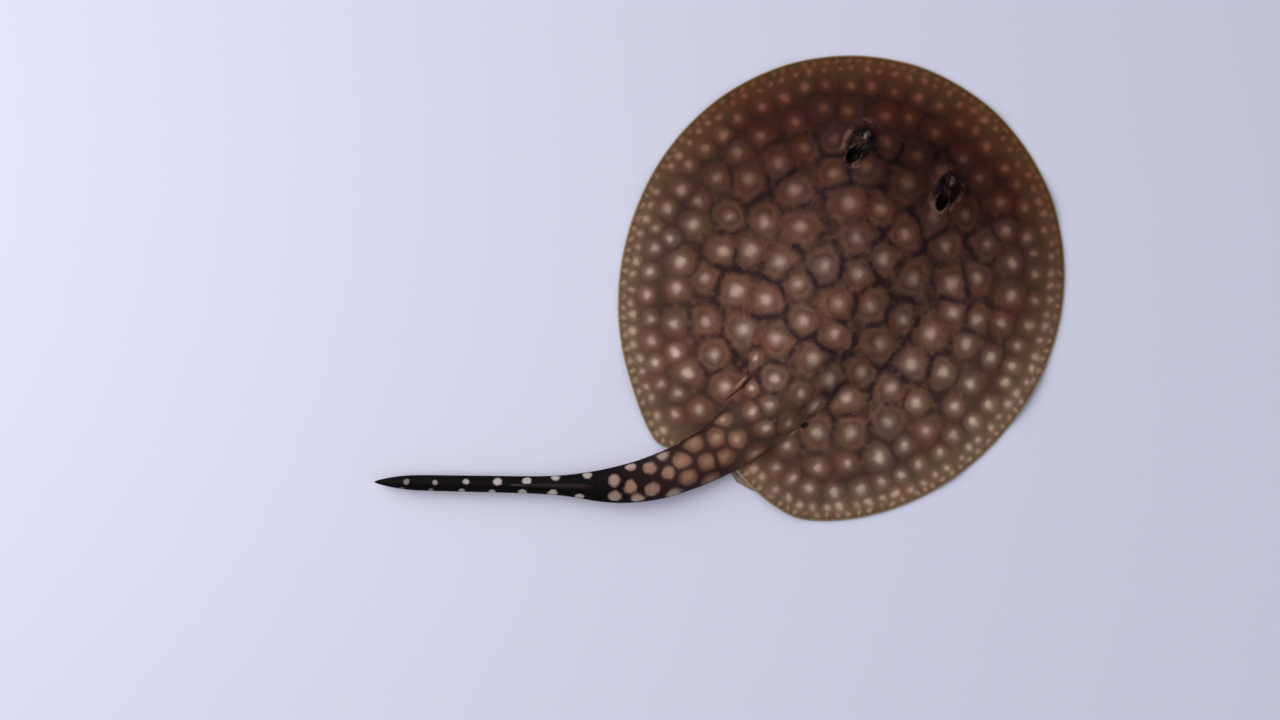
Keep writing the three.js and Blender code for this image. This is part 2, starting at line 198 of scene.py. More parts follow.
def place(station, aside):
    """Station and distance aside to x and y: along the line, round the arc, along the line."""
    heading = np.clip((station - bend_start) / bend_radius, 0, bend_angle)
    past = np.maximum(station - bend_start - bend_radius * bend_angle, 0)
    x = bend_radius * (1 - np.cos(heading)) + past * np.sin(heading)
    y = np.minimum(station, bend_start) + bend_radius * np.sin(heading) + past * np.cos(heading)
    return x + aside * np.cos(heading), y - aside * np.sin(heading)


def locate(x, y):
    """x and y to station and distance aside, by the angle about the bend's centre."""
    back = np.maximum(y - bend_start, 0)
    inward = bend_radius - x
    station = bend_start + bend_radius * np.arctan2(back, inward)
    aside = bend_radius - np.hypot(inward, back)
    bent = y >= bend_start
    return np.where(bent, station, y), np.where(bent, aside, x)


def along(column, station):
    """One column of the body line at a station: a cubic through its rows, whose slope at each
    row is that of the chord between the rows before and after it."""
    rows, values = body_line[:, 0], body_line[:, column]
    last = len(rows) - 1
    q = np.clip(station, rows[0], rows[-1])
    k = np.clip(np.searchsorted(rows, q) - 1, 0, last - 1)
    before = np.maximum(np.arange(last + 1) - 1, 0)
    after = np.minimum(np.arange(last + 1) + 1, last)
    slope = (values[after] - values[before]) / (rows[after] - rows[before])
    span = rows[k + 1] - rows[k]
    t = (q - rows[k]) / span
    bow = (slope[k] * span * (1 - t) - slope[k + 1] * span * t) * t * (1 - t)
    return lerp(values[k], values[k + 1], t * t * (3 - 2 * t)) + bow


def across_body(station, aside):
    """0 on the midline or the head's centre, 1 on the flank."""
    nose = np.hypot(aside / head_half, (station - head_centre) / head_reach)
    return np.where(station < head_centre, nose, np.abs(aside) / along(HALF, station))


print("the tail's tip lies at x, y:", np.round(place(tail_tip, 0), 1), "mm")

# %% Margin and rays


def quadratic(a, b, c, t):
    """A quadratic Bezier curve from a to c that leaves towards b."""
    return lerp(lerp(a, b, t), lerp(b, c, t), t)


def of_side(pair, side):
    """The left (1) or the right (-1) of two values, by the side of each point."""
    return np.where(side > 0, pair[1], pair[-1])


def margin(side, number):
    """The margin where ray number `number` ends: two quarter ellipses, a rounded lobe and the
    lobe's way back in to the tail. side is 1 on the left and -1 on the right."""
    meet = of_side(notch, side)
    edge_x, edge_y = place(meet, side * along(HALF, meet))
    edge_x = edge_x * side
    corner = of_side(lobe_corner, side)
    corner_angle = np.arccos(corner / disc_half)
    start_y = rear_reach * np.sin(corner_angle)
    reach = (rear_margin - start_y) / (rear_reach * np.cos(corner_angle))
    tip_x = corner - reach * disc_half * np.sin(corner_angle)
    end_x = np.maximum(tip_x - lobe_end["run"], edge_x + lobe_end["clearance"])
    inward_x = lerp(end_x, edge_x, lobe_end["turn"])
    cuts = np.cumsum([0, *ray_steps.values()])
    t = [np.clip((number - cuts[k]) / (cuts[k + 1] - cuts[k]), 0, 1) for k in range(4)]
    front, rear = (t[0] - 1) * np.pi / 2, t[1] * corner_angle
    pick = [number <= cuts[1], number <= cuts[2], number <= cuts[3]]
    x = np.select(pick, [disc_half * np.cos(front), disc_half * np.cos(rear),
                         quadratic(corner, tip_x, end_x, t[2])],
                  quadratic(end_x, inward_x, edge_x, t[3]))
    y = np.select(pick, [snout_reach * np.sin(front), rear_reach * np.sin(rear),
                         quadratic(start_y, rear_margin, rear_margin, t[2])],
                  quadratic(rear_margin, rear_margin, edge_y, t[3]))
    return x * side, y


def spine(number):
    """The station where a ray leaves the midline: closer together in front."""
    return fan_start + (notch[0] - fan_start) * (number / last_ray) ** fan_ease


def crossings(side, numbers):
    """The share of each ray's length at which it crosses the flank, by halving."""
    start_x, start_y = place(spine(numbers), 0 * numbers)
    end_x, end_y = margin(side, numbers)
    low, high = np.zeros_like(numbers), np.ones_like(numbers)
    for _ in range(30):
        middle = (low + high) / 2
        x, y = lerp(start_x, end_x, middle), lerp(start_y, end_y, middle)
        inside = across_body(*locate(x, y)) < 1
        low, high = np.where(inside, middle, low), np.where(inside, high, middle)
    return low


ray_numbers = np.linspace(0, last_ray, 2001)
flank_share = {side: crossings(side, ray_numbers) for side in (1, -1)}
print("flank crossings", [round(float(flank_share[1][k]), 2) for k in (0, 1000, 1999)])

# %% [markdown]
# ## Heights
#
# The underside rests on a few flat pads at floor level. From the thin margin the fin swells
# gently inwards, and the raised body stands on it: a smooth dome over the head that turns
# into a steep-sided ridge where the tail begins. A tail section is an ellipse that is pinched
# to low keels along its thin part.

# %% Height of the disc and the tail
# x, y and radius of each pad
resting_pads = [(0, -2, 17), (0, -50, 11), (54, 6, 11), (-54, 6, 11),
                (42, -42, 10), (-42, -42, 10), (44, 46, 9), (-44, 46, 9)]
belly_lift, pad_slope = 0.3, 8
pocket = {"lift": 1.0, "inner": (5.5, 8.5), "outer": (33, 38), "front": (44, 48)}
tail_keels = {"start": 128, "full": 150, "fade": 176, "end": 190, "pinch": 0.35}


def underside(station, aside, x, y):
    """Flat pads at floor level, a slight lift between them and pockets over the pelvic fins."""
    lift = np.full_like(x, belly_lift)
    for pad_x, pad_y, radius in resting_pads:
        away = np.hypot(x - pad_x, y - pad_y)
        lift = np.minimum(lift, belly_lift * ease(away, radius, radius + pad_slope))
    beside = ease(np.abs(aside), *pocket["inner"]) * (1 - ease(np.abs(aside), *pocket["outer"]))
    return lift + pocket["lift"] * beside * ease(station, *pocket["front"])


def disc_heights(x, y, inset):
    """Underside and back: the floor, a sheet that thickens inwards as 1 minus the exponential
    of the inset, and on it the swell (1 - across squared) to a power that sets its shape."""
    station, aside = locate(x, y)
    across = np.minimum(across_body(station, aside), 1)
    floor = underside(station, aside, x, y)
    rearward = ease(station, fin_root["from"], fin_root["to"])
    thick = lerp(fin_root["front"], fin_root["rear"], rearward)
    growth = 1 - np.exp(-((np.maximum(inset, 0) / fin_root["reach"]) ** fin_root["ease"]))
    sheet = margin_thickness + (thick - margin_thickness) * growth
    steeper = ease(station, back_round["from"], back_round["to"])
    power = lerp(back_round["front"], back_round["rear"], steeper)
    swell = (along(TOP, station) - sheet - floor) * (1 - across * across) ** power
    edge = np.sqrt(1 - (1 - np.minimum(inset / margin_round, 1)) ** 2)
    return floor + sheet * (1 - edge) / 2, floor + sheet * (1 + edge) / 2 + swell


def tail_heights(station, across, freed):
    """Underside and back of the free tail: an ellipse between them, pinched to keels."""
    edge_at_notch = belly_lift + pocket["lift"] + margin_thickness / 2
    top, under = along(TOP, station), along(UNDER, station)
    edge = lerp(edge_at_notch, (top + under) / 2, freed)
    keel = ease(station, tail_keels["start"], tail_keels["full"])
    keel = keel * (1 - ease(station, tail_keels["fade"], tail_keels["end"]))
    crown = np.sqrt(np.maximum(1 - across * across, 0))
    pinch = lerp(crown, crown ** 3, tail_keels["pinch"] * keel)
    return edge - (edge - under) * pinch, edge + (top - edge) * pinch


print("height of the back at stations 0, 60 and 150:",
      along(TOP, np.array([0.0, 60.0, 150.0])).round(1), "mm")

# %% [markdown]
# ## The head's features
#
# A ray's eyes sit on low knobs on top of the head, look outwards, and are wrapped by a thick
# fold of skin. Behind each eye is a spiracle, the hole through which a resting ray draws
# water, with a flap in front. Under the snout are the nostrils, the curtain of skin between
# them and the mouth, the mouth itself, and five pairs of gill slits. They could be separate
# small meshes stuck on, but then seams would show, so they are heights added to the skin.

# %% Eyes and spiracles
eye_boxes = {side: box_mm(f"eye_{name}") for side, name in ((1, "left"), (-1, "right"))}
eye_spot = {side: (low + high) / 2 for side, (low, high) in eye_boxes.items()}
eye_radius = float((eye_boxes[1][1] - eye_boxes[1][0]).max() / 2)
eye_lift = np.radians(36)  # how far the eyes look upwards
eye_forward = np.radians(14)
eye_opening = np.radians(62)  # half angle of the gap between the lids
# Slopes are given as the radii, in shares of the half sizes, between which they run.
knob = {"in": 1.0, "back": 1.1, "half": (4.6, 5.6), "rise": 3.5, "slope": (0.2, 1.3)}
spiracle = {"out": 1.3, "back": 7.1, "half": (2.0, 3.4), "turn": 0.16, "depth": 3.4,
            "slope": (0.62, 1.06), "rim": 0.5, "rim_ring": (1.22, 0.28),
            "flap": 0.55, "flap_run": (0.3, 2.2)}
lid_fold = {"gap": 0.12, "rise": 0.5, "crest": (0.13, 0.16), "tuck": 0.55, "edge": (-0.08, 0.06),
            "let_go": (0.2, 0.85), "reach": (4.6, 6.0)}


def gaze(side):
    """The direction an eye looks in."""
    level, rise = np.cos(eye_lift), np.sin(eye_lift)
    return np.array([side * level * np.cos(eye_forward), -level * np.sin(eye_forward), rise])


def pit_radius(side, x, y):
    """0 in the middle of a spiracle and 1 on its rim, measured on a turned ellipse, and how
    far back of its middle a point lies."""
    centre = eye_spot[side]
    dx = (x - centre[0]) * side - spiracle["out"]
    dy = y - centre[1] - spiracle["back"]
    turn = spiracle["turn"]
    across = dx * np.cos(turn) - dy * np.sin(turn)
    back = dx * np.sin(turn) + dy * np.cos(turn)
    return np.hypot(across / spiracle["half"][0], back / spiracle["half"][1]), back


def raise_features(x, y, z):
    """Adds the eye knobs and the spiracles to the height of the back."""
    for side in (1, -1):
        centre = eye_spot[side]
        dx = (x - centre[0]) * side + knob["in"]
        dy = y - centre[1] - knob["back"]
        r = np.hypot(dx / knob["half"][0], dy / knob["half"][1])
        z = z + knob["rise"] * (1 - ease(r, *knob["slope"]))
        pit, back = pit_radius(side, x, y)
        z = z + spiracle["rim"] * bell(pit, *spiracle["rim_ring"])
        open_share = 1 - spiracle["flap"] * ease(-back, *spiracle["flap_run"])
        z = z - spiracle["depth"] * open_share * (1 - ease(pit, *spiracle["slope"]))
    return z


def wrap_eyes(x, y, z):
    """Draws the skin in behind the gap between the lids and folds it over round the gap. The
    angle from the gaze says where: inside the opening the skin lies under the eyeball's
    surface, at its edge it stands out as a rounded lid, and further round it is left alone."""
    for side in (1, -1):
        offset = np.stack([x, y, z], axis=-1) - eye_spot[side]
        far = np.maximum(np.linalg.norm(offset, axis=-1), 1e-6)
        angle = np.arccos(np.clip(offset @ gaze(side) / far, -1, 1))
        past = angle - eye_opening
        lid = eye_radius + lid_fold["rise"] * bell(past, *lid_fold["crest"]) + lid_fold["gap"]
        inner = eye_radius - lid_fold["tuck"]
        ring = lerp(inner, lid, ease(past, *lid_fold["edge"]))
        hold = 1 - ease(past, *lid_fold["let_go"])
        hold = hold * (1 - ease(far, *lid_fold["reach"]))
        moved = eye_spot[side] + offset * (lerp(far, ring, hold) / far)[..., None]
        x, y, z = moved[..., 0], moved[..., 1], moved[..., 2]
    return x, y, z


print("eye radius", round(eye_radius, 2), "mm, left eye at", eye_spot[1].round(1), "mm")

# %% Mouth, nostrils, gill slits and vent
# A groove and a lip are given as the half width and the depth.
mouth = {"y": -47.5, "half": 6.0, "arch": 0.8, "bend": 2.2, "blunt": 1.4,
         "groove": (1.0, 1.1), "lip": (3.4, 0.28)}
nostril = {"x": 4.6, "y": -53.0, "half": (1.6, 0.95), "slant": 0.5, "depth": 0.9, "slope": (0.5, 1.1)}
curtain = {"top": 3.4, "foot": 5.4, "short": 0.6, "groove": (0.55, 0.5)}
gills = {"count": 5, "front": (17, -32), "rear": (12.5, -14), "half": 2.1, "tilt": 0.22, "bow": 0.10,
         "groove": (0.62, 0.75), "fold_at": 0.9, "fold": (0.8, 0.12)}
vent = {"station": 45, "half": (1.0, 2.3), "depth": 0.9, "slope": (0.45, 1.1)}


def groove(away, width, depth):
    """A groove with a round bottom and soft shoulders, by the distance from its line."""
    return depth * (1 - ease(away, width * 0.35, width))


def hollow_features(x, y, z):
    """Sinks the mouth, nostrils, nasal curtain, gill slits and vent into the underside. Each is
    a groove about a line: a cosine arch, a straight slant or a bowed short stroke."""
    line = mouth["y"] + mouth["arch"] * np.cos(x / mouth["half"] * mouth["bend"])
    beyond = np.maximum(np.abs(x) - mouth["half"], 0)
    away = np.hypot(y - line, beyond * mouth["blunt"])
    rise = groove(away, *mouth["groove"]) + groove(away, *mouth["lip"])
    for side in (1, -1):
        dx, dy = x * side - nostril["x"], y - nostril["y"]
        r = np.hypot((dx + dy * nostril["slant"]) / nostril["half"][0], dy / nostril["half"][1])
        rise = np.maximum(rise, nostril["depth"] * (1 - ease(r, *nostril["slope"])))
        part = np.clip((y - nostril["y"]) / (mouth["y"] - nostril["y"]), 0, 1)
        aside = np.abs(x * side - lerp(curtain["top"], curtain["foot"], part ** 2))
        reach = np.maximum(np.maximum(nostril["y"] - y, y - mouth["y"] + curtain["short"]), 0)
        rise = np.maximum(rise, groove(np.hypot(aside, reach), *curtain["groove"]))
        for slit in range(gills["count"]):
            share = slit / (gills["count"] - 1)
            gill_x, gill_y = lerp(np.array(gills["front"]), np.array(gills["rear"]), share)
            dx, dy = x * side - gill_x, y - gill_y
            bowed = dy - gills["tilt"] * dx + gills["bow"] * dx * dx
            end = np.maximum(np.abs(dx) - gills["half"], 0)
            rise = np.maximum(rise, groove(np.hypot(bowed, end), *gills["groove"]))
            fold_width, fold_depth = gills["fold"]
            rise = rise + fold_depth * bell(np.hypot(bowed - gills["fold_at"], end), 0, fold_width)
    station, aside = locate(x, y)
    r = np.hypot(aside / vent["half"][0], (station - vent["station"]) / vent["half"][1])
    return z + rise + vent["depth"] * (1 - ease(r, *vent["slope"]))


print("mouth", 2 * mouth["half"], "mm wide,", gills["count"], "gill slits on each side")

# %% [markdown]
# ## One skin over head, trunk, fins and tail
#
# The whole animal is one closed tube. A point of it has two marks. The first is the number of
# its ray, which fans from the midline to the margin, and past the last ray it counts along the
# tail. The second goes round the body: 0 at the left margin, 1 at the left flank, 2 on the
# midline of the back, 3 and 4 at the right flank and margin, then back under the belly to 8.
# A plain grid of these marks would be crowded at the midline and coarse at the eyes. So a
# coarse grid is refined: each edge longer than the length wanted there is cut at its middle
# mark, and the new point is worked out from the formulas, which keeps every point exact.

# %% The skin's formula
tail_sweep = {"straight": 0.3, "freed": 0.2, "merged": 0.07}  # shares of the tail's length
tip_round = 1.6


def body_share(number, h):
    """Spreads points from the midline (0) to the flank (1), closer at a steep flank."""
    return lerp(h, np.sin(h * np.pi / 2), ease(number / last_ray, 0.6, 1))


def disc_skin(number, side, m, top):
    """The disc by ray number and m, from 0 at the margin over 1 at the flank to 2 at the
    midline: each point lies on a straight ray from the midline to the margin."""
    share = of_side({k: np.interp(number, ray_numbers, flank_share[k]) for k in (1, -1)}, side)
    start_x, start_y = place(spine(number), 0 * number)
    end_x, end_y = margin(side, number)
    outer = 1 - (1 - share) * np.minimum(m, 1) ** 2
    inner = share * body_share(number, np.clip(2 - m, 0, 1))
    part = np.where(m < 1, outer, inner)
    x, y = lerp(start_x, end_x, part), lerp(start_y, end_y, part)
    inset = (1 - part) * np.hypot(end_x - start_x, end_y - start_y)
    low, high = disc_heights(x, y, inset)
    return x, y, np.where(top, high, low)


def tail_across(side, m):
    """How far across the tail a point lies, as the sine of its turn: 1 and -1 on the flanks."""
    return side * np.where(m < 1, 1, np.sin(np.clip(2 - m, 0, 1) * np.pi / 2))


def tail_skin(t, side, m, top):
    """The free tail by its share t from the notch to the tip, as x, y, z and station. Its rings
    start out swept back on the left as the notch is and square up along the tail, and the tip
    is rounded off."""
    middle = lerp(notch[0], tail_tip, t)
    across = tail_across(side, m)
    lead = of_side(notch, side) - notch[0]
    station = middle + lead * (1 - ease(t, 0, tail_sweep["straight"])) * np.abs(across)
    low, high = tail_heights(station, across, ease(t, 0, tail_sweep["freed"]))
    closing = np.sqrt(1 - np.clip((station - tail_tip + tip_round) / tip_round, 0, 1) ** 2)
    x, y = place(station, across * along(HALF, station) * closing)
    centre = (along(TOP, tail_tip) + along(UNDER, tail_tip)) / 2
    return x, y, lerp(centre, np.where(top, high, low), closing), station


def sides_of(turn):
    """The turn round the body as a side, m and whether it is on the back. m runs from 0 at the
    margin to 2 at the midline, above and below alike."""
    side = np.where((turn < 2) | (turn > 6), 1, -1)
    return side, np.minimum(turn % 4, 4 - turn % 4), turn <= 4


def skin(marks):
    """Marks to points. At the notch the tail takes up the disc's last ray without a step."""
    number, turn = marks.T
    side, m, top = sides_of(turn)
    disc = np.stack(disc_skin(np.minimum(number, last_ray), side, m, top), axis=-1)
    t = np.clip(number - last_ray, 0, 1)
    tail = np.stack(tail_skin(t, side, m, top)[:3], axis=-1)
    first = np.stack(tail_skin(0 * t, side, m, top)[:3], axis=-1)
    fade = (1 - ease(t, 0, tail_sweep["merged"]))[:, None]
    points = np.where((number > last_ray)[:, None], tail + (disc - first) * fade, disc)
    x, y, z = points.T
    head = y < 0
    z = np.where(top & head, raise_features(x, y, z), z)
    z = np.where(top, z, hollow_features(x, y, z))
    wrapped = wrap_eyes(x, y, z)
    x, y, z = (np.where(top & head, new, old) for new, old in zip(wrapped, (x, y, z)))
    return np.stack([x, y, z], axis=-1)


print("the snout's tip:", skin(np.array([[0.0, 0.0]]))[0].round(1), "mm")

# %% Grid and refinement
steps = {"ray": 3, "fin": 15, "body": 9, "tail": 64}
refining_passes = 7
edge_length = {"middle": 1.75, "margin": 1.2, "tail": 1.15, "eye": 0.34, "spiracle": 0.46,
               "face": 0.7, "belly": 5.0, "under_tail": 2}
fine_face = {"y": -50, "half": (8, 5.5)}  # an oval round the mouth and nostrils
fine_gills = {"x": 15, "y": -23, "half": (5.5, 11.5)}  # a box round the slits of one side


def coarse_grid():
    """Marks and triangles of the coarse grid over the disc and the tail."""
    numbers = np.concatenate([np.linspace(0, last_ray, last_ray * steps["ray"] + 1),
                              last_ray + np.linspace(0, 1, steps["tail"] + 1)[1:]])
    quarter = np.concatenate([np.linspace(0, 1, steps["fin"] + 1)[:-1],
                              np.linspace(1, 2, steps["body"] + 1)])
    half = np.concatenate([quarter, (4 - quarter[:-1])[::-1]])
    turns = np.concatenate([half, 4 + half[1:]])
    marks = np.stack(np.meshgrid(numbers, turns, indexing="ij"), axis=-1).reshape(-1, 2)
    wide = len(turns)
    corner = (np.arange(len(numbers) - 1)[:, None] * wide + np.arange(wide - 1)).ravel()
    first = np.stack([corner, corner + 1, corner + wide + 1], axis=1)
    second = np.stack([corner, corner + wide + 1, corner + wide], axis=1)
    return marks, np.concatenate([first, second])


def length_wanted(points, top):
    """The longest edge that is let stand: short at the margin, shorter at the eyes, mouth and
    gills, and long on the plain underside."""
    x, y = points[:, 0], points[:, 1]
    plain, on_tail = edge_length["middle"], y > rear_margin
    outward = ease(np.hypot(x / disc_half, y / snout_reach), 0.6, 0.9)
    back = np.where(on_tail, edge_length["tail"], lerp(plain, edge_length["margin"], outward))
    for side in (1, -1):
        eye_away = np.linalg.norm(points - eye_spot[side], axis=1)
        back = np.minimum(back, lerp(edge_length["eye"], plain, ease(eye_away, 3.0, 8.0)))
        pit, _ = pit_radius(side, x, y)
        back = np.minimum(back, lerp(edge_length["spiracle"], plain, ease(pit, 1.3, 2.6)))
    wide, long = fine_face["half"]
    face = np.hypot(x / wide, (y - fine_face["y"]) / long)
    wide, long = fine_gills["half"]
    slits = np.maximum(np.abs(np.abs(x) - fine_gills["x"]) / wide, np.abs(y - fine_gills["y"]) / long)
    belly = lerp(edge_length["face"], edge_length["belly"], ease(np.minimum(face, slits), 1, 1.6))
    belly = np.where(on_tail, np.minimum(belly, edge_length["under_tail"]), belly)
    return np.where(top, back, belly)


def refine(marks, triangles, passes):
    """Cuts every edge that is too long at its middle mark, and each triangle into two, three
    or four by how many of its edges were cut."""
    for _ in range(passes):
        points = skin(marks)
        following = np.roll(triangles, -1, axis=1)
        ends = np.sort(np.stack([triangles.ravel(), following.ravel()], axis=1), axis=1)
        keys, inverse = np.unique(ends[:, 0] * len(marks) + ends[:, 1], return_inverse=True)
        a, b = keys // len(marks), keys % len(marks)
        length = np.linalg.norm(points[a] - points[b], axis=1).round(4)
        middles = (marks[a] + marks[b]) / 2
        on_back = (middles[:, 1] <= 4) | (middles[:, 1] >= 8)
        cut = length > length_wanted((points[a] + points[b]).round(4) / 2, on_back)
        fresh = np.full(len(keys), -1)
        fresh[cut] = len(marks) + np.arange(cut.sum())
        marks = np.concatenate([marks, middles[cut]])
        triangles = split(triangles, fresh[inverse].reshape(-1, 3))
        if not cut.any():
            break
    return marks, triangles


def split(triangles, middle):
    """Cuts triangles at the middles of their edges; -1 stands for an uncut edge. Each is first
    turned so that its cut edges come first."""
    is_cut = middle >= 0
    count = is_cut.sum(axis=1)
    one, two, three = count == 1, count == 2, count == 3
    lead = np.select([one, two], [is_cut.argmax(axis=1), (~is_cut).argmax(axis=1) + 1], 0)
    order = (lead[:, None] + np.arange(3)) % 3
    a, b, c = np.take_along_axis(triangles, order, axis=1).T
    p, q, r = np.take_along_axis(middle, order, axis=1).T
    pieces = [triangles[count == 0]]
    for chosen, corners in (
        (one, ((a, p, c), (p, b, c))),
        (two, ((p, b, q), (a, p, q), (a, q, c))),
        (three, ((a, p, r), (p, b, q), (r, q, c), (p, q, r))),
    ):
        pieces += [np.stack([corner[chosen] for corner in trio], axis=1) for trio in corners]
    return np.concatenate(pieces)


def closed(points, triangles):
    """Joins points that lie on each other, drops triangles that shrank to a line and turns the
    rest outwards. Returns also which of the old points were kept."""
    _, first, inverse = np.unique(points.round(3), axis=0, return_index=True, return_inverse=True)
    triangles = inverse.reshape(-1)[triangles]
    a, b, c = triangles.T
    triangles = triangles[(a != b) & (b != c) & (c != a)]
    used, triangles = np.unique(triangles, return_inverse=True)
    triangles = triangles.reshape(-1, 3)
    kept = first[used]
    a, b, c = (points[kept][k] for k in triangles.T)
    if np.einsum("ij,ij->i", np.cross(a, b), c).sum() < 0:
        triangles = triangles[:, ::-1]
    return points[kept], triangles, kept


def open_edges(triangles):
    """How many edges aren't shared by exactly two triangles."""
    ends = np.sort(np.concatenate([triangles[:, [k, (k + 1) % 3]] for k in range(3)]), axis=1)
    _, uses = np.unique(ends[:, 0] * (ends.max() + 1) + ends[:, 1], return_counts=True)
    return int((uses != 2).sum())


skin_marks, skin_triangles = refine(*coarse_grid(), refining_passes)
skin_points, skin_triangles, kept = closed(skin(skin_marks), skin_triangles)
skin_marks = skin_marks[kept]
print("skin:", len(skin_points), "points,", len(skin_triangles), "triangles,",
      open_edges(skin_triangles), "open edges")

# %% [markdown]
# ## Pelvic fins
#
# Two small fins grow beside the vent and lie tucked under the disc, and the rear edge of the
# right one shows in the notch beside the tail. Each is a closed thin sheet between its root,
# which starts inside the body, and a rounded edge through a few points, with low ridges where
# its rays run. A Boolean modifier joins them to the body, so that all is still one skin.

# %% Pelvic fins
pelvic_edge = np.array([[48, 12], [53, 21.5], [60, 27.5], [66, 26], [70, 20], [73.5, 13]])
pelvic = {"root": 4.0, "front": 47.5, "rear": 73, "thick": 0.95, "thin": 0.5, "rounding": 0.6,
          "ends": 25, "ridges": 15, "ridge": 0.05, "ridge_start": (0.3, 0.6),
          "clear": 0.06, "climb": 1.7, "climb_end": 8.5}
pelvic_grid = (90, 40)  # points from front to rear and from the root outwards


def lengths_along(line):
    """The length of a chain of chords from its start to each of its points."""
    return np.concatenate([[0], np.cumsum(np.linalg.norm(np.diff(line, axis=0), axis=1))])


def through(points, t):
    """A smooth curve through points: a cubic by the length along their chords, with slopes as
    in the body line."""
    reach = lengths_along(points)
    q = t * reach[-1]
    k = np.clip(np.searchsorted(reach, q) - 1, 0, len(points) - 2)
    slope = np.gradient(points, reach, axis=0)
    span = (reach[k + 1] - reach[k])[..., None]
    s = ((q - reach[k])[..., None]) / span
    bow = (slope[k] * span * (1 - s) - slope[k + 1] * span * s) * s * (1 - s)
    return lerp(points[k], points[k + 1], s * s * (3 - 2 * s)) + bow


def grid_faces(rows, columns):
    """Four-cornered faces over a grid of points."""
    corner = (np.arange(rows - 1)[:, None] * columns + np.arange(columns - 1)).ravel()
    return np.stack([corner, corner + 1, corner + columns + 1, corner + columns], axis=1)


def pelvic_fin(side):
    """Points and faces of one fin: the upper sheet, then the lower one, then the root's wall.
    A point lies a share of the way from its root to its tip, and the two sheets part by a
    thickness that runs out round the edge as a quarter circle."""
    rays, rows = pelvic_grid
    part, out = np.meshgrid(np.linspace(0, 1, rays), np.linspace(0, 1, rows), indexing="ij")
    out = np.sin(out * np.pi / 2)
    tip = through(pelvic_edge, part)
    station = lerp(lerp(pelvic["front"], pelvic["rear"], part), tip[..., 0], out)
    aside = lerp(pelvic["root"], tip[..., 1], out)
    x, y = place(station, side * aside)
    width = np.hypot(tip[..., 0] - station, tip[..., 1] - aside)
    length = pelvic["ends"] * np.minimum(part, 1 - part)
    from_edge = np.minimum(np.minimum(width, length) / pelvic["rounding"], 1)
    edge = np.sqrt(1 - (1 - from_edge) ** 2)
    thick = lerp(pelvic["thick"], pelvic["thin"], out)
    wave = np.cos(part * pelvic["ridges"] * 2 * np.pi)
    ridge = pelvic["ridge"] * wave * ease(out, *pelvic["ridge_start"])
    climb = pelvic["climb"] * (1 - ease(aside, pelvic["root"], pelvic["climb_end"]))
    middle = thick / 2 + pelvic["clear"] + climb
    upper = np.stack([x, y, middle + edge * (thick / 2 + ridge)], axis=-1).reshape(-1, 3)
    lower = np.stack([x, y, middle - edge * (thick / 2 + ridge)], axis=-1).reshape(-1, 3)
    sheet = grid_faces(rays, rows)
    root = np.arange(rays - 1) * rows
    other = root + rays * rows
    wall = np.stack([root, other, other + rows, root + rows], axis=1)
    faces = np.concatenate([sheet[:, ::-1], sheet + rays * rows, wall])
    return np.concatenate([upper, lower]), faces


pelvic_fins = {side: pelvic_fin(side) for side in (1, -1)}
print("each pelvic fin:", len(pelvic_fins[1][0]), "points,", len(pelvic_fins[1][1]), "faces")


# %% Meshes
def triangles_of(faces):
    """Two triangles for each four-cornered face."""
    return np.concatenate([faces[:, [0, 1, 2]], faces[:, [0, 2, 3]]])


def make_piece(name, points, triangles, fields=None):
    """A smooth-shaded object with its place in its mesh, and a number field per point."""
    mesh = bpy.data.meshes.new(name)
    mesh.vertices.add(len(points))
    mesh.vertices.foreach_set("co", (points * MM).ravel())
    mesh.loops.add(triangles.size)
    mesh.loops.foreach_set("vertex_index", triangles.ravel().astype(np.int32))
    mesh.polygons.add(len(triangles))
    mesh.polygons.foreach_set("loop_start", np.arange(0, triangles.size, 3, dtype=np.int32))
    mesh.update(calc_edges=True)
    mesh.validate()
    mesh.shade_smooth()
    for field, values in (fields or {}).items():
        set_field(mesh, field, values)
    piece = bpy.data.objects.new(name, mesh)
    bpy.context.scene.collection.objects.link(piece)
    return piece


def set_field(mesh, name, values):
    """Stores one number per point under a name that a material can read."""
    attribute = mesh.attributes.get(name) or mesh.attributes.new(name, "FLOAT", "POINT")
    attribute.data.foreach_set("value", np.asarray(values, dtype=np.float32))


def read_field(mesh, name):
    """One number per point, as stored under a name."""
    values = np.empty(len(mesh.vertices), dtype=np.float32)
    mesh.attributes[name].data.foreach_get("value", values)
    return values.astype(float)


# %% Join the fins to the body
FIN_NUMBER = -5.0  # the ray number given to points of the pelvic fins

# A point that the Boolean makes has no turn of its own and gets 0, so turns are stored 1 higher.
body = make_piece("ray_skin", skin_points, skin_triangles,
                  {"number": skin_marks[:, 0], "turn": skin_marks[:, 1] + 1})
for side in (1, -1):
    fin_points, fin_faces = pelvic_fins[side]
    fin_points, fin_triangles, _ = closed(fin_points, triangles_of(fin_faces))
    flat = np.ones(len(fin_points))
    fin = make_piece("pelvic", fin_points, fin_triangles, {"number": FIN_NUMBER * flat, "turn": flat})
    join = body.modifiers.new("join", "BOOLEAN")
    join.operation = "UNION"
    join.solver = "MANIFOLD"
    join.object = fin
    evaluated = body.evaluated_get(bpy.context.evaluated_depsgraph_get())
    whole = bpy.data.meshes.new_from_object(evaluated)
    body.modifiers.clear()
    body.data = whole
    bpy.data.objects.remove(fin)
print("joined skin:", len(body.data.vertices), "points,", len(body.data.polygons), "faces")

# %% [markdown]
# ## Where each point lies
#
# The markings follow the body: rows of spots run parallel to the margin, and on the tail they
# run along it. So every point of the skin needs its distance in from the margin, its way
# along it, its station, and how far it has turned from the back to the belly. A texture laid
# over the mesh from above could not tell these apart, and numbers per point can.

# %% Places on the skin
rim_points = 701  # along each half of the margin
lot = 8000


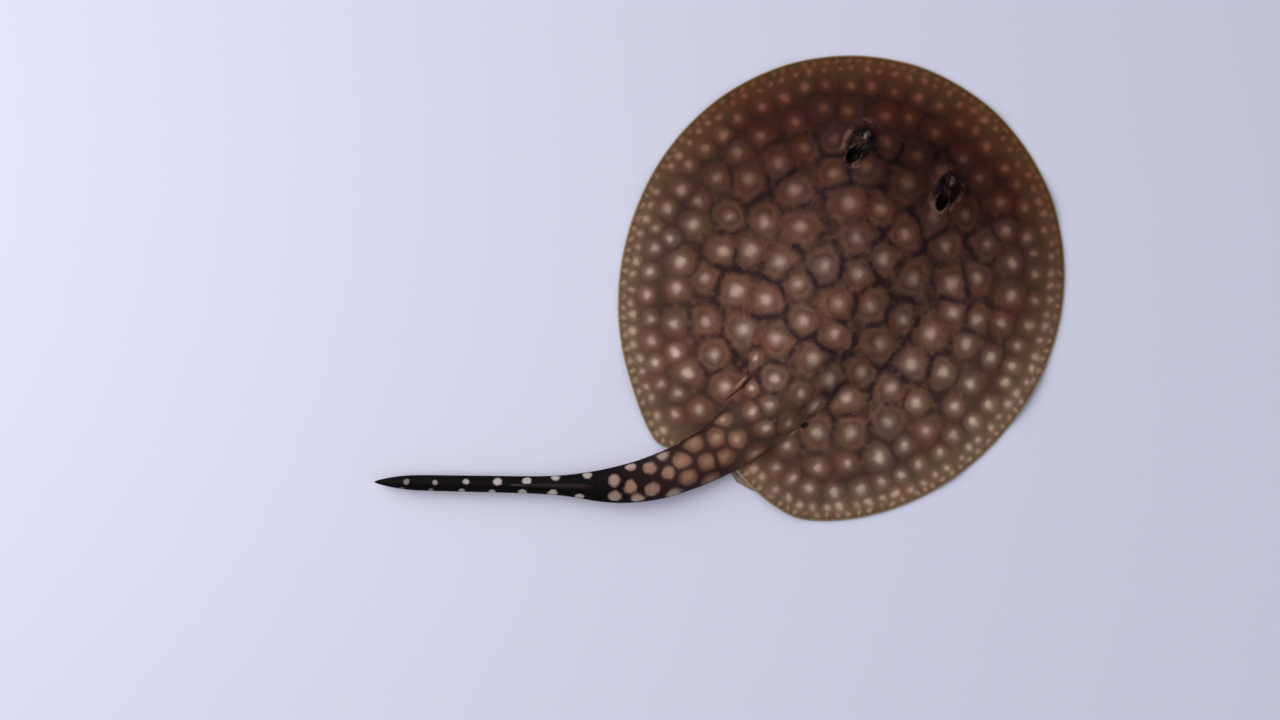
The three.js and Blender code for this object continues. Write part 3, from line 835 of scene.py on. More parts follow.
def margin_line():
    """The whole margin from the left notch over the snout to the right notch, with its
    direction and the way along it, measured from the snout."""
    back, forth = np.linspace(last_ray, 0, rim_points), np.linspace(0, last_ray, rim_points)
    left, right_half = margin(1, back), margin(-1, forth[1:])
    line = np.concatenate([left, right_half], axis=1).T
    way = lengths_along(line)
    ahead = np.gradient(line, way, axis=0)
    ahead /= np.linalg.norm(ahead, axis=1)[:, None]
    return line, ahead, way - way[rim_points - 1]


def offsets(places, targets):
    """Takes the places a few thousand at a time, to save memory, and gives for each lot where
    it lies in the whole, its offsets from every target and the squares of their lengths."""
    for start in range(0, len(places), lot):
        part = slice(start, start + lot)
        offset = places[part, None, :] - targets[None, :, :]
        yield part, offset, np.einsum("ijk,ijk->ij", offset, offset)


rim_line, rim_ahead, rim_way = margin_line()


def from_margin(x, y):
    """Inset from the margin and way along it, by the nearest of its points."""
    inset, way = np.empty(len(x)), np.empty(len(x))
    for part, offset, square in offsets(np.stack([x, y], axis=1), rim_line):
        k = square.argmin(axis=1)
        near = offset[np.arange(len(k)), k]
        inset[part] = np.sqrt(square.min(axis=1))
        way[part] = rim_way[k] + np.einsum("ij,ij->i", near, rim_ahead[k])
    return inset, way


points = np.empty(len(body.data.vertices) * 3)
body.data.vertices.foreach_get("co", points)
points = points.reshape(-1, 3) / MM
x, y, z = points.T
number, turn = read_field(body.data, "number"), read_field(body.data, "turn") - 1
on_fin = number == FIN_NUMBER
turn = np.where((turn < 0) | on_fin, 6.0, turn)  # below 0 where the fins meet the belly
side, m, upper = sides_of(turn)
on_tail = number > last_ray
disc_station, disc_aside = locate(x, y)
_, _, _, tail_station = tail_skin(np.clip(number - last_ray, 0, 1), side, m, upper)
station = np.where(on_tail, tail_station, disc_station)
disc_across = np.sign(disc_aside) * across_body(disc_station, disc_aside)
across = np.where(on_tail, tail_across(side, m), disc_across)
inset, way = from_margin(x, y)
inset = np.where(on_tail, 60.0, inset)  # the tail counts as the middle of the disc
print("inset up to", inset[~on_tail].max().round(1), "mm, way up to", way.max().round(), "mm")

# %% Above or below, and the lift of the rim
fin_middle = 0.75  # the level that parts the upper and the lower side of a pelvic fin
belly_side = np.where(on_tail, np.clip(m - 1, 0, 1), np.minimum(inset, 1))
under = np.where(upper, -1, 1) * belly_side
under = np.where(on_fin, np.where(z > fin_middle, -1.0, 1.0), under)

# The rim of a resting ray lifts a little here and there: three sine waves along the margin.
rim_lift, rim_waves = 1.3, ((17.0, 0.4), (9.6, 2.1), (5.7, 4.4))
swell = sum(np.sin(way / length + start) for length, start in rim_waves) / len(rim_waves)
lift = rim_lift * ease(swell, -0.15, 0.85) * ease(inset, 15, 0) * ~on_fin
points[:, 2] += lift
body.data.vertices.foreach_set("co", (points * MM).ravel())
body.data.update()
print("rim lifted up to", lift.max().round(2), "mm")

# %% [markdown]
# ## Spots
#
# The pale spots are smallest and closest at the margin and widest apart in the middle. Random
# dots would clump, and a noise texture has no rows. So spots are set out row by row inwards,
# each row parallel to the margin, a little shaken, and then at random into the gaps. A spot
# that would crowd another is left out. The tail has its own rows of blotches, which turn to
# pairs along its edges.

# %% Spots in rows
random = np.random.default_rng(11)
spacing_by_inset = np.array([
    [0, 3.4], [1.7, 3.9], [4.9, 5.0], [13, 9.4], [26, 12.0], [39, 13.2], [70, 13.4],
])
disc_rows = {"first": 4.6, "last": 74, "pitch": 0.90, "shake_along": 0.09, "shake": 0.07}
fillers_tried = 4000
crowding = 0.36  # of two spots' spacings: closer than this, the second is left out
clear_of_rim = 3.2
blotch_start = 44  # the station where the tail's spots take over from those of the disc


def spot_spacing(inset):
    """How far apart spots lie at an inset from the margin."""
    return np.interp(inset, *spacing_by_inset.T)


def row_of_spots(inset):
    """Spots evenly along the margin's line moved inwards by the inset, then shaken."""
    inward = np.stack([rim_ahead[:, 1], -rim_ahead[:, 0]], axis=1)
    inward *= np.sign((inward * -rim_line).sum())
    line = rim_line + inward * inset
    reach = lengths_along(line)
    gap = spot_spacing(inset)
    at = np.arange(random.uniform(0, gap), reach[-1], gap)
    at = at + random.normal(0, disc_rows["shake_along"], len(at)) * gap
    spots = np.stack([np.interp(at, reach, line[:, k]) for k in range(2)], axis=1)
    return spots + random.normal(0, disc_rows["shake"], spots.shape) * gap


def scattered(count):
    """Random places over the box round the disc."""
    return random.uniform([-disc_half, -snout_reach], [disc_half, rear_margin], (count, 2))


def in_circle(places):
    """Whether places lie in the circle round the disc."""
    return np.hypot(*(places / disc_half).T) < 1


def disc_spots(tail_places):
    """All rows and random fillers, less those spots that lie on the tail's root or too close to
    the rim or to one that is already there. Returns x, y and the local spacing."""
    rows, inset = [], disc_rows["first"]
    while inset < disc_rows["last"]:
        rows.append(row_of_spots(inset))
        inset += disc_rows["pitch"] * spot_spacing(inset + 0.5 * spot_spacing(inset))
    fillers = scattered(fillers_tried)
    candidates = np.concatenate([*rows, fillers[in_circle(fillers)]])
    true_inset, _ = from_margin(*candidates.T)
    gaps = spot_spacing(true_inset) * random.uniform(0.9, 1.12, len(candidates))
    seat, aside = locate(*candidates.T)
    on_root = (across_body(seat, aside) < 0.97) & (seat > blotch_start)
    kept = tail_places
    for spot, gap, depth in zip(candidates[~on_root], gaps[~on_root], true_inset[~on_root]):
        away = np.linalg.norm(kept[:, :2] - spot, axis=1)
        if depth > clear_of_rim and (away > crowding * (kept[:, 2] + gap)).all():
            kept = np.concatenate([kept, [[*spot, gap]]])
    return kept[len(tail_places):]


print("spots at insets of 0, 13 and 70 mm are", spot_spacing([0, 13, 70]), "mm apart")

# %% Spots on the tail
tail_spacing = np.array([[41, 10.0], [60, 8.4], [80, 7.6], [95, 7.0], [110, 6.4]])
tail_rows = {"end": 115, "pitch": 0.86, "wrap": 0.94}
tail_pairs = np.arange(120, 187, 10.2)  # the stations of the pairs of spots on the thin part
pair_lag = 1.5  # how far behind the upper spot of a pair the right edge's spot lies
pair_spacing = np.array([[120, 4.8], [150, 4.3], [162, 3.2], [187, 2.6]])
upper_place = np.array([[126, 0.64], [140, 0.36], [162, 0.10]])  # in shares of the half girth
edge_place = np.array([[120, 0.50], [132, 0.60], [142, 0.66]])
tail_shake = {"rows": 0.11, "pairs": 0.05, "parted": 118}


def tail_spots():
    """Blotches in staggered rows over the tail's round top by station and arc from the
    midline, then two rows along the thin part, one above and one at the right edge."""
    spots, at, odd = [], blotch_start - 3.0, False
    while at < tail_rows["end"]:
        gap = np.interp(at, *tail_spacing.T)
        wide = along(HALF, at) * np.pi / 2 * tail_rows["wrap"]
        count = int(wide / gap) * 2 + (1 if odd else 0)
        for k in range(count):
            spots.append([at, (k - (count - 1) / 2) * gap, gap])
        at += tail_rows["pitch"] * gap
        odd = not odd
    for at in tail_pairs:
        half, gap = along(HALF, at) * np.pi / 2, np.interp(at, *pair_spacing.T)
        spots.append([at, half * np.interp(at, *upper_place.T), gap])
        spots.append([at + pair_lag, -half * np.interp(at, *edge_place.T), gap])
    spots = np.array(spots)
    shake = np.where(spots[:, :1] < tail_shake["parted"], tail_shake["rows"], tail_shake["pairs"])
    return spots + random.normal(0, 1, spots.shape) * shake * spots[:, 2:]


spots_on_tail = tail_spots()
spot_station, spot_arc, spot_gap = spots_on_tail[spots_on_tail[:, 0] < notch[0]].T
spot_half = along(HALF, spot_station)
spot_x, spot_y = place(spot_station, spot_half * np.sin(spot_arc / spot_half))
spots_on_disc = disc_spots(np.stack([spot_x, spot_y, spot_gap], axis=1))
print("spots:", len(spots_on_disc), "on the disc,", len(spots_on_tail), "on the tail")


# %% Distance to the spots
def two_nearest(places, spots):
    """The two smallest distances from each place to a spot, in shares of that spot's spacing,
    and the number of the nearest."""
    first, second, which = (np.empty(len(places)) for _ in range(3))
    for part, _, square in offsets(places, spots[:, :2]):
        share = np.sqrt(square) / spots[:, 2]
        pair = np.partition(share, 1, axis=1)[:, :2]
        first[part], second[part], which[part] = pair[:, 0], pair[:, 1], share.argmin(axis=1)
    return first, second, which


def wander(x, y, size, reach):
    """A smooth random number per point: nine sine waves in random directions, summed."""
    angle, phase = random.uniform(0, 2 * np.pi, (2, 9))
    length = size * random.uniform(0.7, 1.6, 9)
    across_wave = x[:, None] * np.cos(angle) + y[:, None] * np.sin(angle)
    return np.sin(across_wave * 2 * np.pi / length + phase).sum(axis=1) * reach / 3


FAR = 9  # a distance that keeps a mark off a point
arc = along(HALF, station) * np.arcsin(np.clip(across, -1, 1))
on_body = np.abs(across) < 1
off_disc = FAR * on_tail + FAR * (on_body & (station > blotch_start + 14))
off_tail = FAR * (~on_body) + FAR * (station < blotch_start - 12)


def nearest_marks(stray_x, stray_y):
    """The nearest two spots of both families, with the points moved by a stray."""
    a1, a2, a_which = two_nearest(np.stack([x + stray_x, y + stray_y], axis=1), spots_on_disc)
    strayed = np.stack([station + stray_x, arc + stray_y], axis=1)
    b1, b2, b_which = two_nearest(strayed, spots_on_tail)
    a1, a2, b1, b2 = a1 + off_disc, a2 + off_disc, b1 + off_tail, b2 + off_tail
    four = np.sort(np.stack([a1, a2, b1, b2]), axis=0)
    return four[0], four[1], np.where(a1 < b1, a_which, len(spots_on_disc) + b_which).astype(int)


core, _, which = nearest_marks(wander(x, y, 5, 0.26), wander(x, y, 5, 0.26))
calm = np.where(on_tail, 0.4, ease(inset, 3, 25))  # the rings wander less at the margin
ring, second, _ = nearest_marks(wander(x, y, 9, 0.55) * calm, wander(x, y, 9, 0.55) * calm)
tint_of = random.uniform(0, 1, len(spots_on_disc) + len(spots_on_tail))
print("points inside a core:", int((core < 0.2).sum()))

# %% Specks between the rings
specks_tried, speck_gap, speck_inset = 5000, 5.5, 17
drops = scattered(specks_tried)
drop_inset, _ = from_margin(*drops.T)
drop_near, drop_second, _ = two_nearest(drops, spots_on_disc)
between = (drop_inset > speck_inset) & (drop_near > 0.44) & (drop_second - drop_near < 0.2)
specks = np.empty((0, 3))
for drop in drops[between & in_circle(drops)]:
    if (np.linalg.norm(specks[:, :2] - drop, axis=1) > speck_gap).all():
        specks = np.concatenate([specks, [[*drop, random.uniform(0.75, 1.25)]]])
speck_away, _, _ = two_nearest(np.stack([x, y], axis=1), specks)
print("specks:", len(specks))

# %% Fields for the material
fields = {
    "core": np.where(on_fin, 1, core),
    "ring": np.where(on_fin, 1, ring),
    "web": np.where(on_fin, 1, np.minimum(second - ring, 2)),  # 0 where two rings meet
    "tint": tint_of[which],
    "speck": np.where(on_tail | on_fin, FAR, speck_away),
    "inset": inset,
    "way": way,
    "station": station,
    "across": np.where(on_fin, 2, across),
    "blotch": np.where(on_body, ease(station, blotch_start + 6, blotch_start + 34), 0),
    "under": under,
    "fin": on_fin.astype(float),
    "mask": 1 - ease(np.hypot(x / 31, (y + 44) / 17), 0.35, 1.25),  # the dark face
    # darker and redder towards the head; the slant by x, darker on the left front, is painted shade
    "head": 1 - ease(y - 0.22 * x, -56, 36),
}
# The oval of painted shade round each eye and its spiracle, and the band of the lids
socket_shade_oval = {"out": 0.9, "back": 2.4, "half": (4.1, 6.2)}
lid_band = {"past": 0.16, "width": 0.10, "reach": (3.4, 5.2)}
for side in (1, -1):
    pit, _ = pit_radius(side, x, y)
    offset = points - eye_spot[side]
    far = np.linalg.norm(offset, axis=1)
    angle = np.arccos(np.clip(offset @ gaze(side) / np.maximum(far, 1e-6), -1, 1))
    lid = bell(angle, eye_opening + lid_band["past"], lid_band["width"])
    lid = lid * (1 - ease(far, *lid_band["reach"]))
    half_wide, half_long = socket_shade_oval["half"]
    socket = np.hypot(((x - eye_spot[side][0]) * side - socket_shade_oval["out"]) / half_wide,
                      (y - eye_spot[side][1] - socket_shade_oval["back"]) / half_long)
    looks = {"pit": 1 - ease(pit, 0.72, 1.02), "rim": bell(pit, 1.2, 0.2), "lid": lid}
    for name, values in looks.items():
        fields[name] = np.maximum(fields.get(name, 0), np.where(upper, values, 0))
    fields["socket"] = np.minimum(fields.get("socket", FAR), np.where(upper, socket, FAR))
for name, values in fields.items():
    set_field(body.data, name, values)
print("fields:", ", ".join(fields))

# %% [markdown]
# ## Shader maths
#
# A material on this skin is mostly arithmetic: steps, bells and mixes of the fields above and
# of noise. Wiring each by hand would bury the formula, so a small class wraps a socket and
# adds the nodes that an expression needs.

# %% Shader expressions
def paint(code):
    """A colour written as six hex digits, turned to linear light."""
    value = np.array([int(code[k:k + 2], 16) for k in (0, 2, 4)]) / 255
    linear = np.where(value < 0.04045, value / 12.92, ((value + 0.055) / 1.055) ** 2.4)
    return (*linear.tolist(), 1.0)


print("a middle grey in linear light:", round(paint("808080")[0], 3))


class Value:
    """A socket that carries a number, with arithmetic."""

    def __init__(self, shader, socket):
        self.shader, self.socket = shader, socket

    def _math(self, operation, *values):
        return self.shader.node("ShaderNodeMath", {"operation": operation}, dict(enumerate(values)))

    def __add__(self, other):
        return self._math("ADD", self, other)

    def __radd__(self, other):
        return self._math("ADD", other, self)

    def __sub__(self, other):
        return self._math("SUBTRACT", self, other)

    def __rsub__(self, other):
        return self._math("SUBTRACT", other, self)

    def __mul__(self, other):
        return self._math("MULTIPLY", self, other)

    def __rmul__(self, other):
        return self._math("MULTIPLY", other, self)

    def __truediv__(self, other):
        return self._math("DIVIDE", self, other)

    def ease(self, low, high):
        """0 below low, 1 above high, and smooth between. low may be the larger one."""
        settings = {"interpolation_type": "SMOOTHSTEP"}
        steps = (self, low, high, 0.0, 1.0) if low < high else (self, high, low, 1.0, 0.0)
        return self.shader.node("ShaderNodeMapRange", settings, dict(enumerate(steps)))

    def bell(self, middle, width):
        """1 at the middle, falling smoothly to 0 a width away on each side."""
        return (self - middle).size().ease(width, 0.0)

    def size(self):
        """The number without its sign."""
        return self._math("ABSOLUTE", self)

    def top(self, other):
        """The larger of two."""
        return self._math("MAXIMUM", self, other)

    def root(self):
        """The square root."""
        return self._math("SQRT", self)

    def fraction(self):
        """What is left over past the last whole number."""
        return self._math("FRACT", self)

    def sine(self):
        """The sine of an angle in radians."""
        return self._math("SINE", self)


class Shader:
    """A material being wired."""

    def __init__(self, name):
        self.material = bpy.data.materials.new(name)
        self.material.use_nodes = True
        self.tree = self.material.node_tree
        self.surface = self.tree.nodes["Principled BSDF"]
        self.place = self.node("ShaderNodeTexCoord", {}, {}, "Object")

    def node(self, kind, settings, sockets, output=0):
        """Adds a node: its settings first, then the values or links of its sockets, each by its
        name or number. Returns one of its outputs."""
        made = self.tree.nodes.new(kind)
        for key, value in settings.items():
            setattr(made, key, value)
        for key, value in sockets.items():
            self.feed(made.inputs[key], value)
        return Value(self, made.outputs[output])

    def feed(self, socket, value):
        """Links a value to a socket, or sets it."""
        if isinstance(value, Value):
            self.tree.links.new(value.socket, socket)
        else:
            socket.default_value = value

    def field(self, name):
        """A number stored on the mesh."""
        return self.node("ShaderNodeAttribute", {"attribute_name": name}, {}, "Fac")

    def noise(self, size, detail=2.0, seed=0.0):
        """Noise from about 0 to 1 with features of a size in millimetres."""
        sockets = {"Vector": self.place, "W": seed, "Scale": 1 / (size * MM), "Detail": detail,
                   "Roughness": 0.5}
        return self.node("ShaderNodeTexNoise", {"noise_dimensions": "4D"}, sockets)

    def mix(self, share, a, b):
        """Colour a turned to colour b by a share. The node's colour sockets are its 6th and 7th,
        and its colour is its output 2."""
        return self.node("ShaderNodeMix", {"data_type": "RGBA"}, {0: share, 6: a, 7: b}, 2)

    def lay(self, base, *layers):
        """Lays colours over a base one after another. A layer is its share and its colour."""
        for share, colour in layers:
            base = self.mix(share, base, colour)
        return base

    def darken(self, colour, amount):
        """A colour multiplied by a grey amount."""
        sockets = {0: colour, "Scale": amount}
        return self.node("ShaderNodeVectorMath", {"operation": "SCALE"}, sockets)

    def bump(self, height, depth, normal=None):
        """A normal from a height of 0 to 1 that stands for a depth in millimetres."""
        sockets = {"Strength": 1.0, "Distance": depth * MM, "Height": height}
        if normal is not None:
            sockets["Normal"] = normal
        return self.node("ShaderNodeBump", {}, sockets, "Normal")

    def finish(self, piece, **sockets):
        """Feeds the surface's sockets and gives the material to a piece."""
        for name, value in sockets.items():
            self.feed(self.surface.inputs[name.replace("_", " ")], value)
        piece.data.materials.clear()
        piece.data.materials.append(self.material)


# %% [markdown]
# ## The skin's finish
#
# On the back each spot is a pale core in a brown ring, and dark winding lines part the rings,
# strongest in the middle. Towards the margin the ground turns tan, and tiny pale dots with
# dark ticks between them run along the very edge. The head is darker and redder, and a slant
# of painted shade darkens the left front more. On the tail the spots become large tan blotches
# on dark brown and then cream ones on black. Painted shade with painted highlights on its edges
# marks the creases at its root, and painted light brightens its right flank. Painted shade
# darkens the spiracles and an oval round each eye. The belly is cream with a grey-brown border.
# A painted picture could show all this from one side only, while layers of colour, each weighed
# by the fields and by noise, follow the skin all round.

# %% Fields and noises of the skin
hide = Shader("ray_skin")
core, ring, web, tint = (hide.field(name) for name in ("core", "ring", "web", "tint"))
inset, way, station = hide.field("inset"), hide.field("way"), hide.field("station")
across, blotch, head = hide.field("across"), hide.field("blotch"), hide.field("head")
under, fin, mask = hide.field("under"), hide.field("fin"), hide.field("mask")
broad, patchy, mottled = hide.noise(24, 3, 1), hide.noise(6, 3, 2), hide.noise(9, 2, 6)
wavy, fine, grainy = hide.noise(3.2, 2, 3), hide.noise(1.1, 3, 4), hide.noise(0.45, 2, 5)

middle = inset.ease(13, 38)  # 1 where the rings are large
edge = inset.ease(15, 2)  # 1 at the margin
deep = inset.ease(38, 62)  # 1 round the middle of the back


def shaken(value, by, finely=0.0):
    """A value moved up and down by the wavy noise, and by the fine one."""
    value = value + (wavy - 0.5) * by
    return value + (fine - 0.5) * finely if finely else value


def tone(rear, front):
    """A colour that turns from one on the rear of the disc to another on the head. A slant of
    painted shade makes the head's colour reach further back on the left.
    """
    return hide.mix(head, paint(rear), paint(front))


print("fields and noises:", len(hide.tree.nodes), "nodes")

# %% Ground and rings of the back
ring_reach = shaken(ring, 0.20)
hue = hide.noise(13, 2, 9)
halo = hide.lay(
    tone("6e4a3b", "452017"),
    (mottled.ease(0.35, 0.65) * 0.5, tone("5c4a3a", "3a2218")),
    (hue.ease(0.50, 0.66) * 0.62, tone("7c4a3b", "4c1f16")),  # redder rings
    (hue.ease(0.50, 0.36) * 0.62, tone("5a4547", "382228")),  # greyer rings
)
coloured = hide.lay(
    tone("4d342b", "331610"),
    (edge * 0.8, tone("715945", "573a21")),
    (patchy.ease(0.50, 0.66) * 0.40, tone("62392e", "481d14")),  # reddish ground
    (patchy.ease(0.50, 0.34) * 0.40, tone("51462f", "38281a")),  # olive ground
    (ring_reach.ease(0.56, 0.26) * (0.55 + middle * 0.22), halo),
    (ring_reach.bell(0.26, 0.11) * (0.10 + middle * 0.35), tone("432921", "28110d")),  # inner ring
)
print("with the ground and the rings:", len(hide.tree.nodes), "nodes")


# %% Winding lines
def winding(size, seed, width):
    """Thin winding lines: where a noise passes through its middle value."""
    return (hide.noise(size, 1.5, seed) - 0.5).size().ease(width, 0.0)


outside = ring_reach.ease(0.24, 0.38) * middle
cell_rim = web.bell(0.38, 0.17) * middle * (patchy.ease(0.40, 0.62) * 0.7 + 0.3)
dark_winding = winding(6.5, 8, 0.07) * outside * patchy.ease(0.4, 0.6)

# Dark lines run where two rings meet and fill the corners between three, except on the bare
# flanks of the tail's root. They fade and break here and there.
line = shaken(web, 0.12, 0.04).ease(0.27, 0.02)
bare_flank = across.bell(1.0, 0.35) * station.bell(42, 11)
corner = (ring_reach + (fine - 0.5) * 0.05).ease(0.47, 0.60) * (1 - bare_flank * 0.75)
broken = shaken(mottled, 0.45).ease(0.41, 0.56)
dark = line.top(corner * 0.9) * (0.24 + broken * 0.76)
speck = (hide.field("speck") + (fine - 0.5) * 0.7).ease(1.6, 0.2)
coloured = hide.lay(
    coloured,
    (winding(5.5, 7, 0.09) * outside * 0.22, tone("8a6252", "5a382d")),  # pale winding lines
    (dark_winding * 0.26, tone("2e1c1c", "140808")),
    (cell_rim * 0.30, tone("85604f", "563529")),  # a paler rim inside each dark line
    (dark * (0.38 * (1 - edge) + middle * 0.48), tone("22131a", "0c0407")),
    (speck * 0.22, tone("8a6855", "4f3026")),
)
print("with the winding lines:", len(hide.tree.nodes), "nodes")

# %% Pale cores
core_reach = (core + (fine - 0.5) * 0.06) * (1.16 - tint * 0.3 + deep * 0.18)
core_reach = core_reach * (1 - edge * 0.36 - inset.ease(34, 14) * 0.10)
core_colour = hide.mix(edge * 0.6, tone("c9ae9b", "784a38"), tone("b39878", "84573a"))
core_weight = (0.34 + tint * 0.44) * (1 - middle * 0.08 - deep * 0.26)
coloured = hide.lay(
    coloured,
    (core_reach.ease(0.34, 0.04) * 0.24, core_colour),  # a soft glow round the core
    (core_reach.ease(0.19, 0.03) * core_weight, core_colour),
)
print("with the cores:", len(hide.tree.nodes), "nodes")

# %% Margin
# A fraction of the way repeats the dots and the ticks, and a noise shakes their places.
dot_phase = (way / 3.9 + (mottled - 0.5) * 1.6).fraction() - 0.5
dot_depth = shaken(inset - 1.9, 1.6)
dot_away = (dot_phase * dot_phase * 15 + dot_depth * dot_depth).root()
tick_phase = (way / 2.3 + (mottled - 0.5) * 1.6).fraction() - 0.5
coloured = hide.lay(
    coloured,
    (dot_away.ease(1.5, 0.2) * wavy.ease(0.22, 0.55) * 0.5, tone("b39878", "7c5234")),
    (tick_phase.bell(0.0, 0.3) * inset.ease(1.7, 0.4) * 0.55, paint("3d2a1e")),
    (inset.ease(0.8, 0.1) * 0.7, paint("a3926f")),  # the pale hem
)
print("with the margin:", len(hide.tree.nodes), "nodes")

# %% Tail
rear = station.ease(78, 98)
flank = across.size().ease(0.55, 0.95)
disc_shape = shaken(ring, 0.34, 0.09)
filled_cell = shaken(web, 0.20).ease(0.0, 0.34) * disc_shape.ease(0.58, 0.34)
patch = lerp(filled_cell, disc_shape.ease(0.41, 0.22), rear)  # cells in front, discs behind
patch_colour = hide.lay(
    hide.mix(rear, paint("664234"), paint("806155")),
    (core.ease(0.38, 0.02) * 0.65, paint("9a7762")),  # paler in the middle of a patch
    (mottled.ease(0.5, 0.7) * 0.5 * (1 - flank), paint("5c3c33")),
    (tint.ease(0.35, 0.95) * 0.30, paint("8f6a54")),  # some patches are lighter than others
    (station.ease(104, 128).top(flank * rear * 0.7), paint("aba09a")),  # cream on the thin part
)
tail_ground = hide.mix(station.ease(76, 118), paint("36211e"), paint("080506"))
seen = station.ease(184, 150) * 0.55 + 0.45  # the patches grow dim towards the tip
coloured = hide.mix(blotch, coloured, hide.mix(patch * seen, tail_ground, patch_colour))
print("with the tail:", len(hide.tree.nodes), "nodes")

# %% Painted shade and highlights in the creases of the tail's root
seat = across + (fine - 0.5) * 0.05


def crease(slant, middle, width, start, end):
    """A thin slanting line along the back of the root, which fades in and out by station."""
    away = (seat - station * slant).bell(middle, width)
    return away * station.ease(*start) * station.ease(*end)


# Painted shade in a slit left of the middle, with a painted highlight on its lip, in a lower slit
# behind it, and in a fold on the right where the fin's rear margin meets the tail, with painted
# shade in its notch and a painted highlight on its edge
slit = crease(0.0215, -0.169, 0.045, (45.5, 47.5), (61, 57))
slit_lip_highlight = crease(0.0215, -0.060, 0.055, (46, 49), (56, 51))
low_slit = crease(0.0167, -0.363, 0.05, (71, 74), (84, 80))
right_line = seat.bell(-0.985, 0.04) * station.ease(52, 56) * station.ease(72, 66)
right_notch_shade = (seat.bell(-1.02, 0.12) * station.bell(47.4, 1.9)).ease(0.1, 0.5)
notch_edge_highlight = seat.bell(-1.0, 0.07) * station.bell(51.4, 2.6)
crease_shade = slit.top(low_slit * 0.8).top(right_line * 0.2).top(right_notch_shade)
coloured = hide.lay(
    coloured,
    # painted highlights on the lip of the slit and the edge of the notch
    (slit_lip_highlight.top(notch_edge_highlight) * 0.55, paint("a88c78")),
    # painted shade in the slits, the fold and the notch
    (crease_shade * 0.92, paint("0e0808")),
)
print("with the creases:", len(hide.tree.nodes), "nodes")

# %% Belly and pelvic fins
belly = (under + (fine - 0.5) * 0.15).ease(0.15, 0.55)
pale = hide.lay(
    hide.mix(patchy, paint("cdbcae"), paint("dccfc2")),
    (shaken(inset, 5).ease(11, 3), paint("8c7a6c")),  # the border
    (station.ease(96, 126), paint("2a2020")),  # the dark thin part of the tail
)
fin_back = hide.mix(wavy, paint("664a38"), paint("8c6c50"))
coloured = hide.lay(
    coloured,
    (belly, pale),
    (fin, hide.mix(under.ease(-0.4, 0.4), fin_back, pale)),
)
print("with the belly:", len(hide.tree.nodes), "nodes")

# %% Head openings
pit, rim, lid = hide.field("pit"), hide.field("rim"), hide.field("lid")
socket = shaken(hide.field("socket"), 0.35)
marks = socket.bell(1.36, 0.34) * patchy.ease(0.44, 0.58) * wavy.ease(0.35, 0.55)
flecks = socket.ease(1.05, 0.7) * (wavy + (fine - 0.5) * 0.6).ease(0.52, 0.66)
coloured = hide.lay(
    coloured,
    (marks * 0.6, paint("866455")),  # pale marks round the oval
    # painted shade: a dark oval round the eye and spiracle, and the spiracle's inside near black
    (socket.ease(1.18, 0.80) * 0.96, paint("0d0706")),  # the dark oval round eye and spiracle
    (pit, paint("100a09")),
    (flecks * 0.45, paint("4f3a2f")),
    (rim * 0.40 * fine.ease(0.45, 0.6), paint("7d5c4d")),
    (lid * fine.ease(0.42, 0.62) * 0.5, paint("5c3d33")),
)
print("with the head's openings:", len(hide.tree.nodes), "nodes")

# %% Shade and surface of the skin
# Painted light: the right flank of the tail's root, which its steep side leaves in shade, is
# brightened.
painted_flank_light = across.bell(-0.94, 0.26) * station.ease(28, 42) * station.ease(88, 66) * 0.5
shade = (0.80 + broad * 0.24 + grainy * 0.16) * (1 - mask * (1 - belly) * 0.45)
coloured = hide.darken(coloured, shade * (1 + painted_flank_light * (1 - belly)))

# Heights of the bumps in millimetres: pores, grain and the rays of the fins
pore_size, pore_height, grain_height, ray_height = 0.62, 0.05, 0.09, 0.02
pores = hide.node("ShaderNodeTexVoronoi", {}, {"Vector": hide.place, "Scale": 1 / (pore_size * MM)})
fin_rays = (way * 4.4).sine() * inset.ease(26, 8) * 0.5
surface = hide.bump(pores, pore_height)
surface = hide.bump(grainy + fine * 0.8, grain_height, surface)
surface = hide.bump(fin_rays * patchy, ray_height, surface)
hide.surface.inputs["Specular IOR Level"].default_value = 0.06
hide.surface.inputs["Coat Roughness"].default_value = 0.28
hide.finish(body, Base_Color=coloured, Roughness=0.50 + fine * 0.2,
            Coat_Weight=0.005 + patchy * 0.015, Normal=surface)
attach(body, "root")
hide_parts("head", "trunk", "tail_root", "tail_base", "tail_middle", "tail_tip",
            "pectoral_fin_left", "pectoral_fin_right", "pelvic_fin_left", "pelvic_fin_right")
print("skin material:", len(hide.tree.nodes), "nodes")

# %% [markdown]
# ## Eyes
#
# A ray's eye is a dark ball with a gold-brown iris. A flap hangs into the pupil from above
# and leaves a crescent. The ball is worked out about its gaze, with a slight bulge for the
# cornea, and its pattern is drawn from the angle to the gaze.

# %% Eyeballs
ball_grid = (61, 97)  # points from the pupil to the back, and round the gaze
cornea = {"bulge": 0.05, "width": 0.7}


def eyeball(side):
    """A sphere by its angle from the gaze and its turn about it, a little longer in front."""
    angle, around = np.meshgrid(np.linspace(0, np.pi, ball_grid[0]),
                                np.linspace(0, 2 * np.pi, ball_grid[1]), indexing="ij")
    forward = gaze(side)
    level = np.cross([0, 0, 1], forward)
    level /= np.linalg.norm(level)
    above = np.cross(forward, level)
    radius = eye_radius * (1 + cornea["bulge"] * bell(angle, 0, cornea["width"]))
    outwards = np.cos(around)[..., None] * level + np.sin(around)[..., None] * above
    ball = np.cos(angle)[..., None] * forward + np.sin(angle)[..., None] * outwards
    points = (eye_spot[side] + radius[..., None] * ball).reshape(-1, 3)
    shape, triangles, kept = closed(points, triangles_of(grid_faces(*ball_grid)))
    looks = {"gaze_level": (np.sin(angle) * np.cos(around)).ravel()[kept],
             "gaze_above": (np.sin(angle) * np.sin(around)).ravel()[kept],
             "gaze_angle": angle.ravel()[kept]}
    return shape, triangles, looks


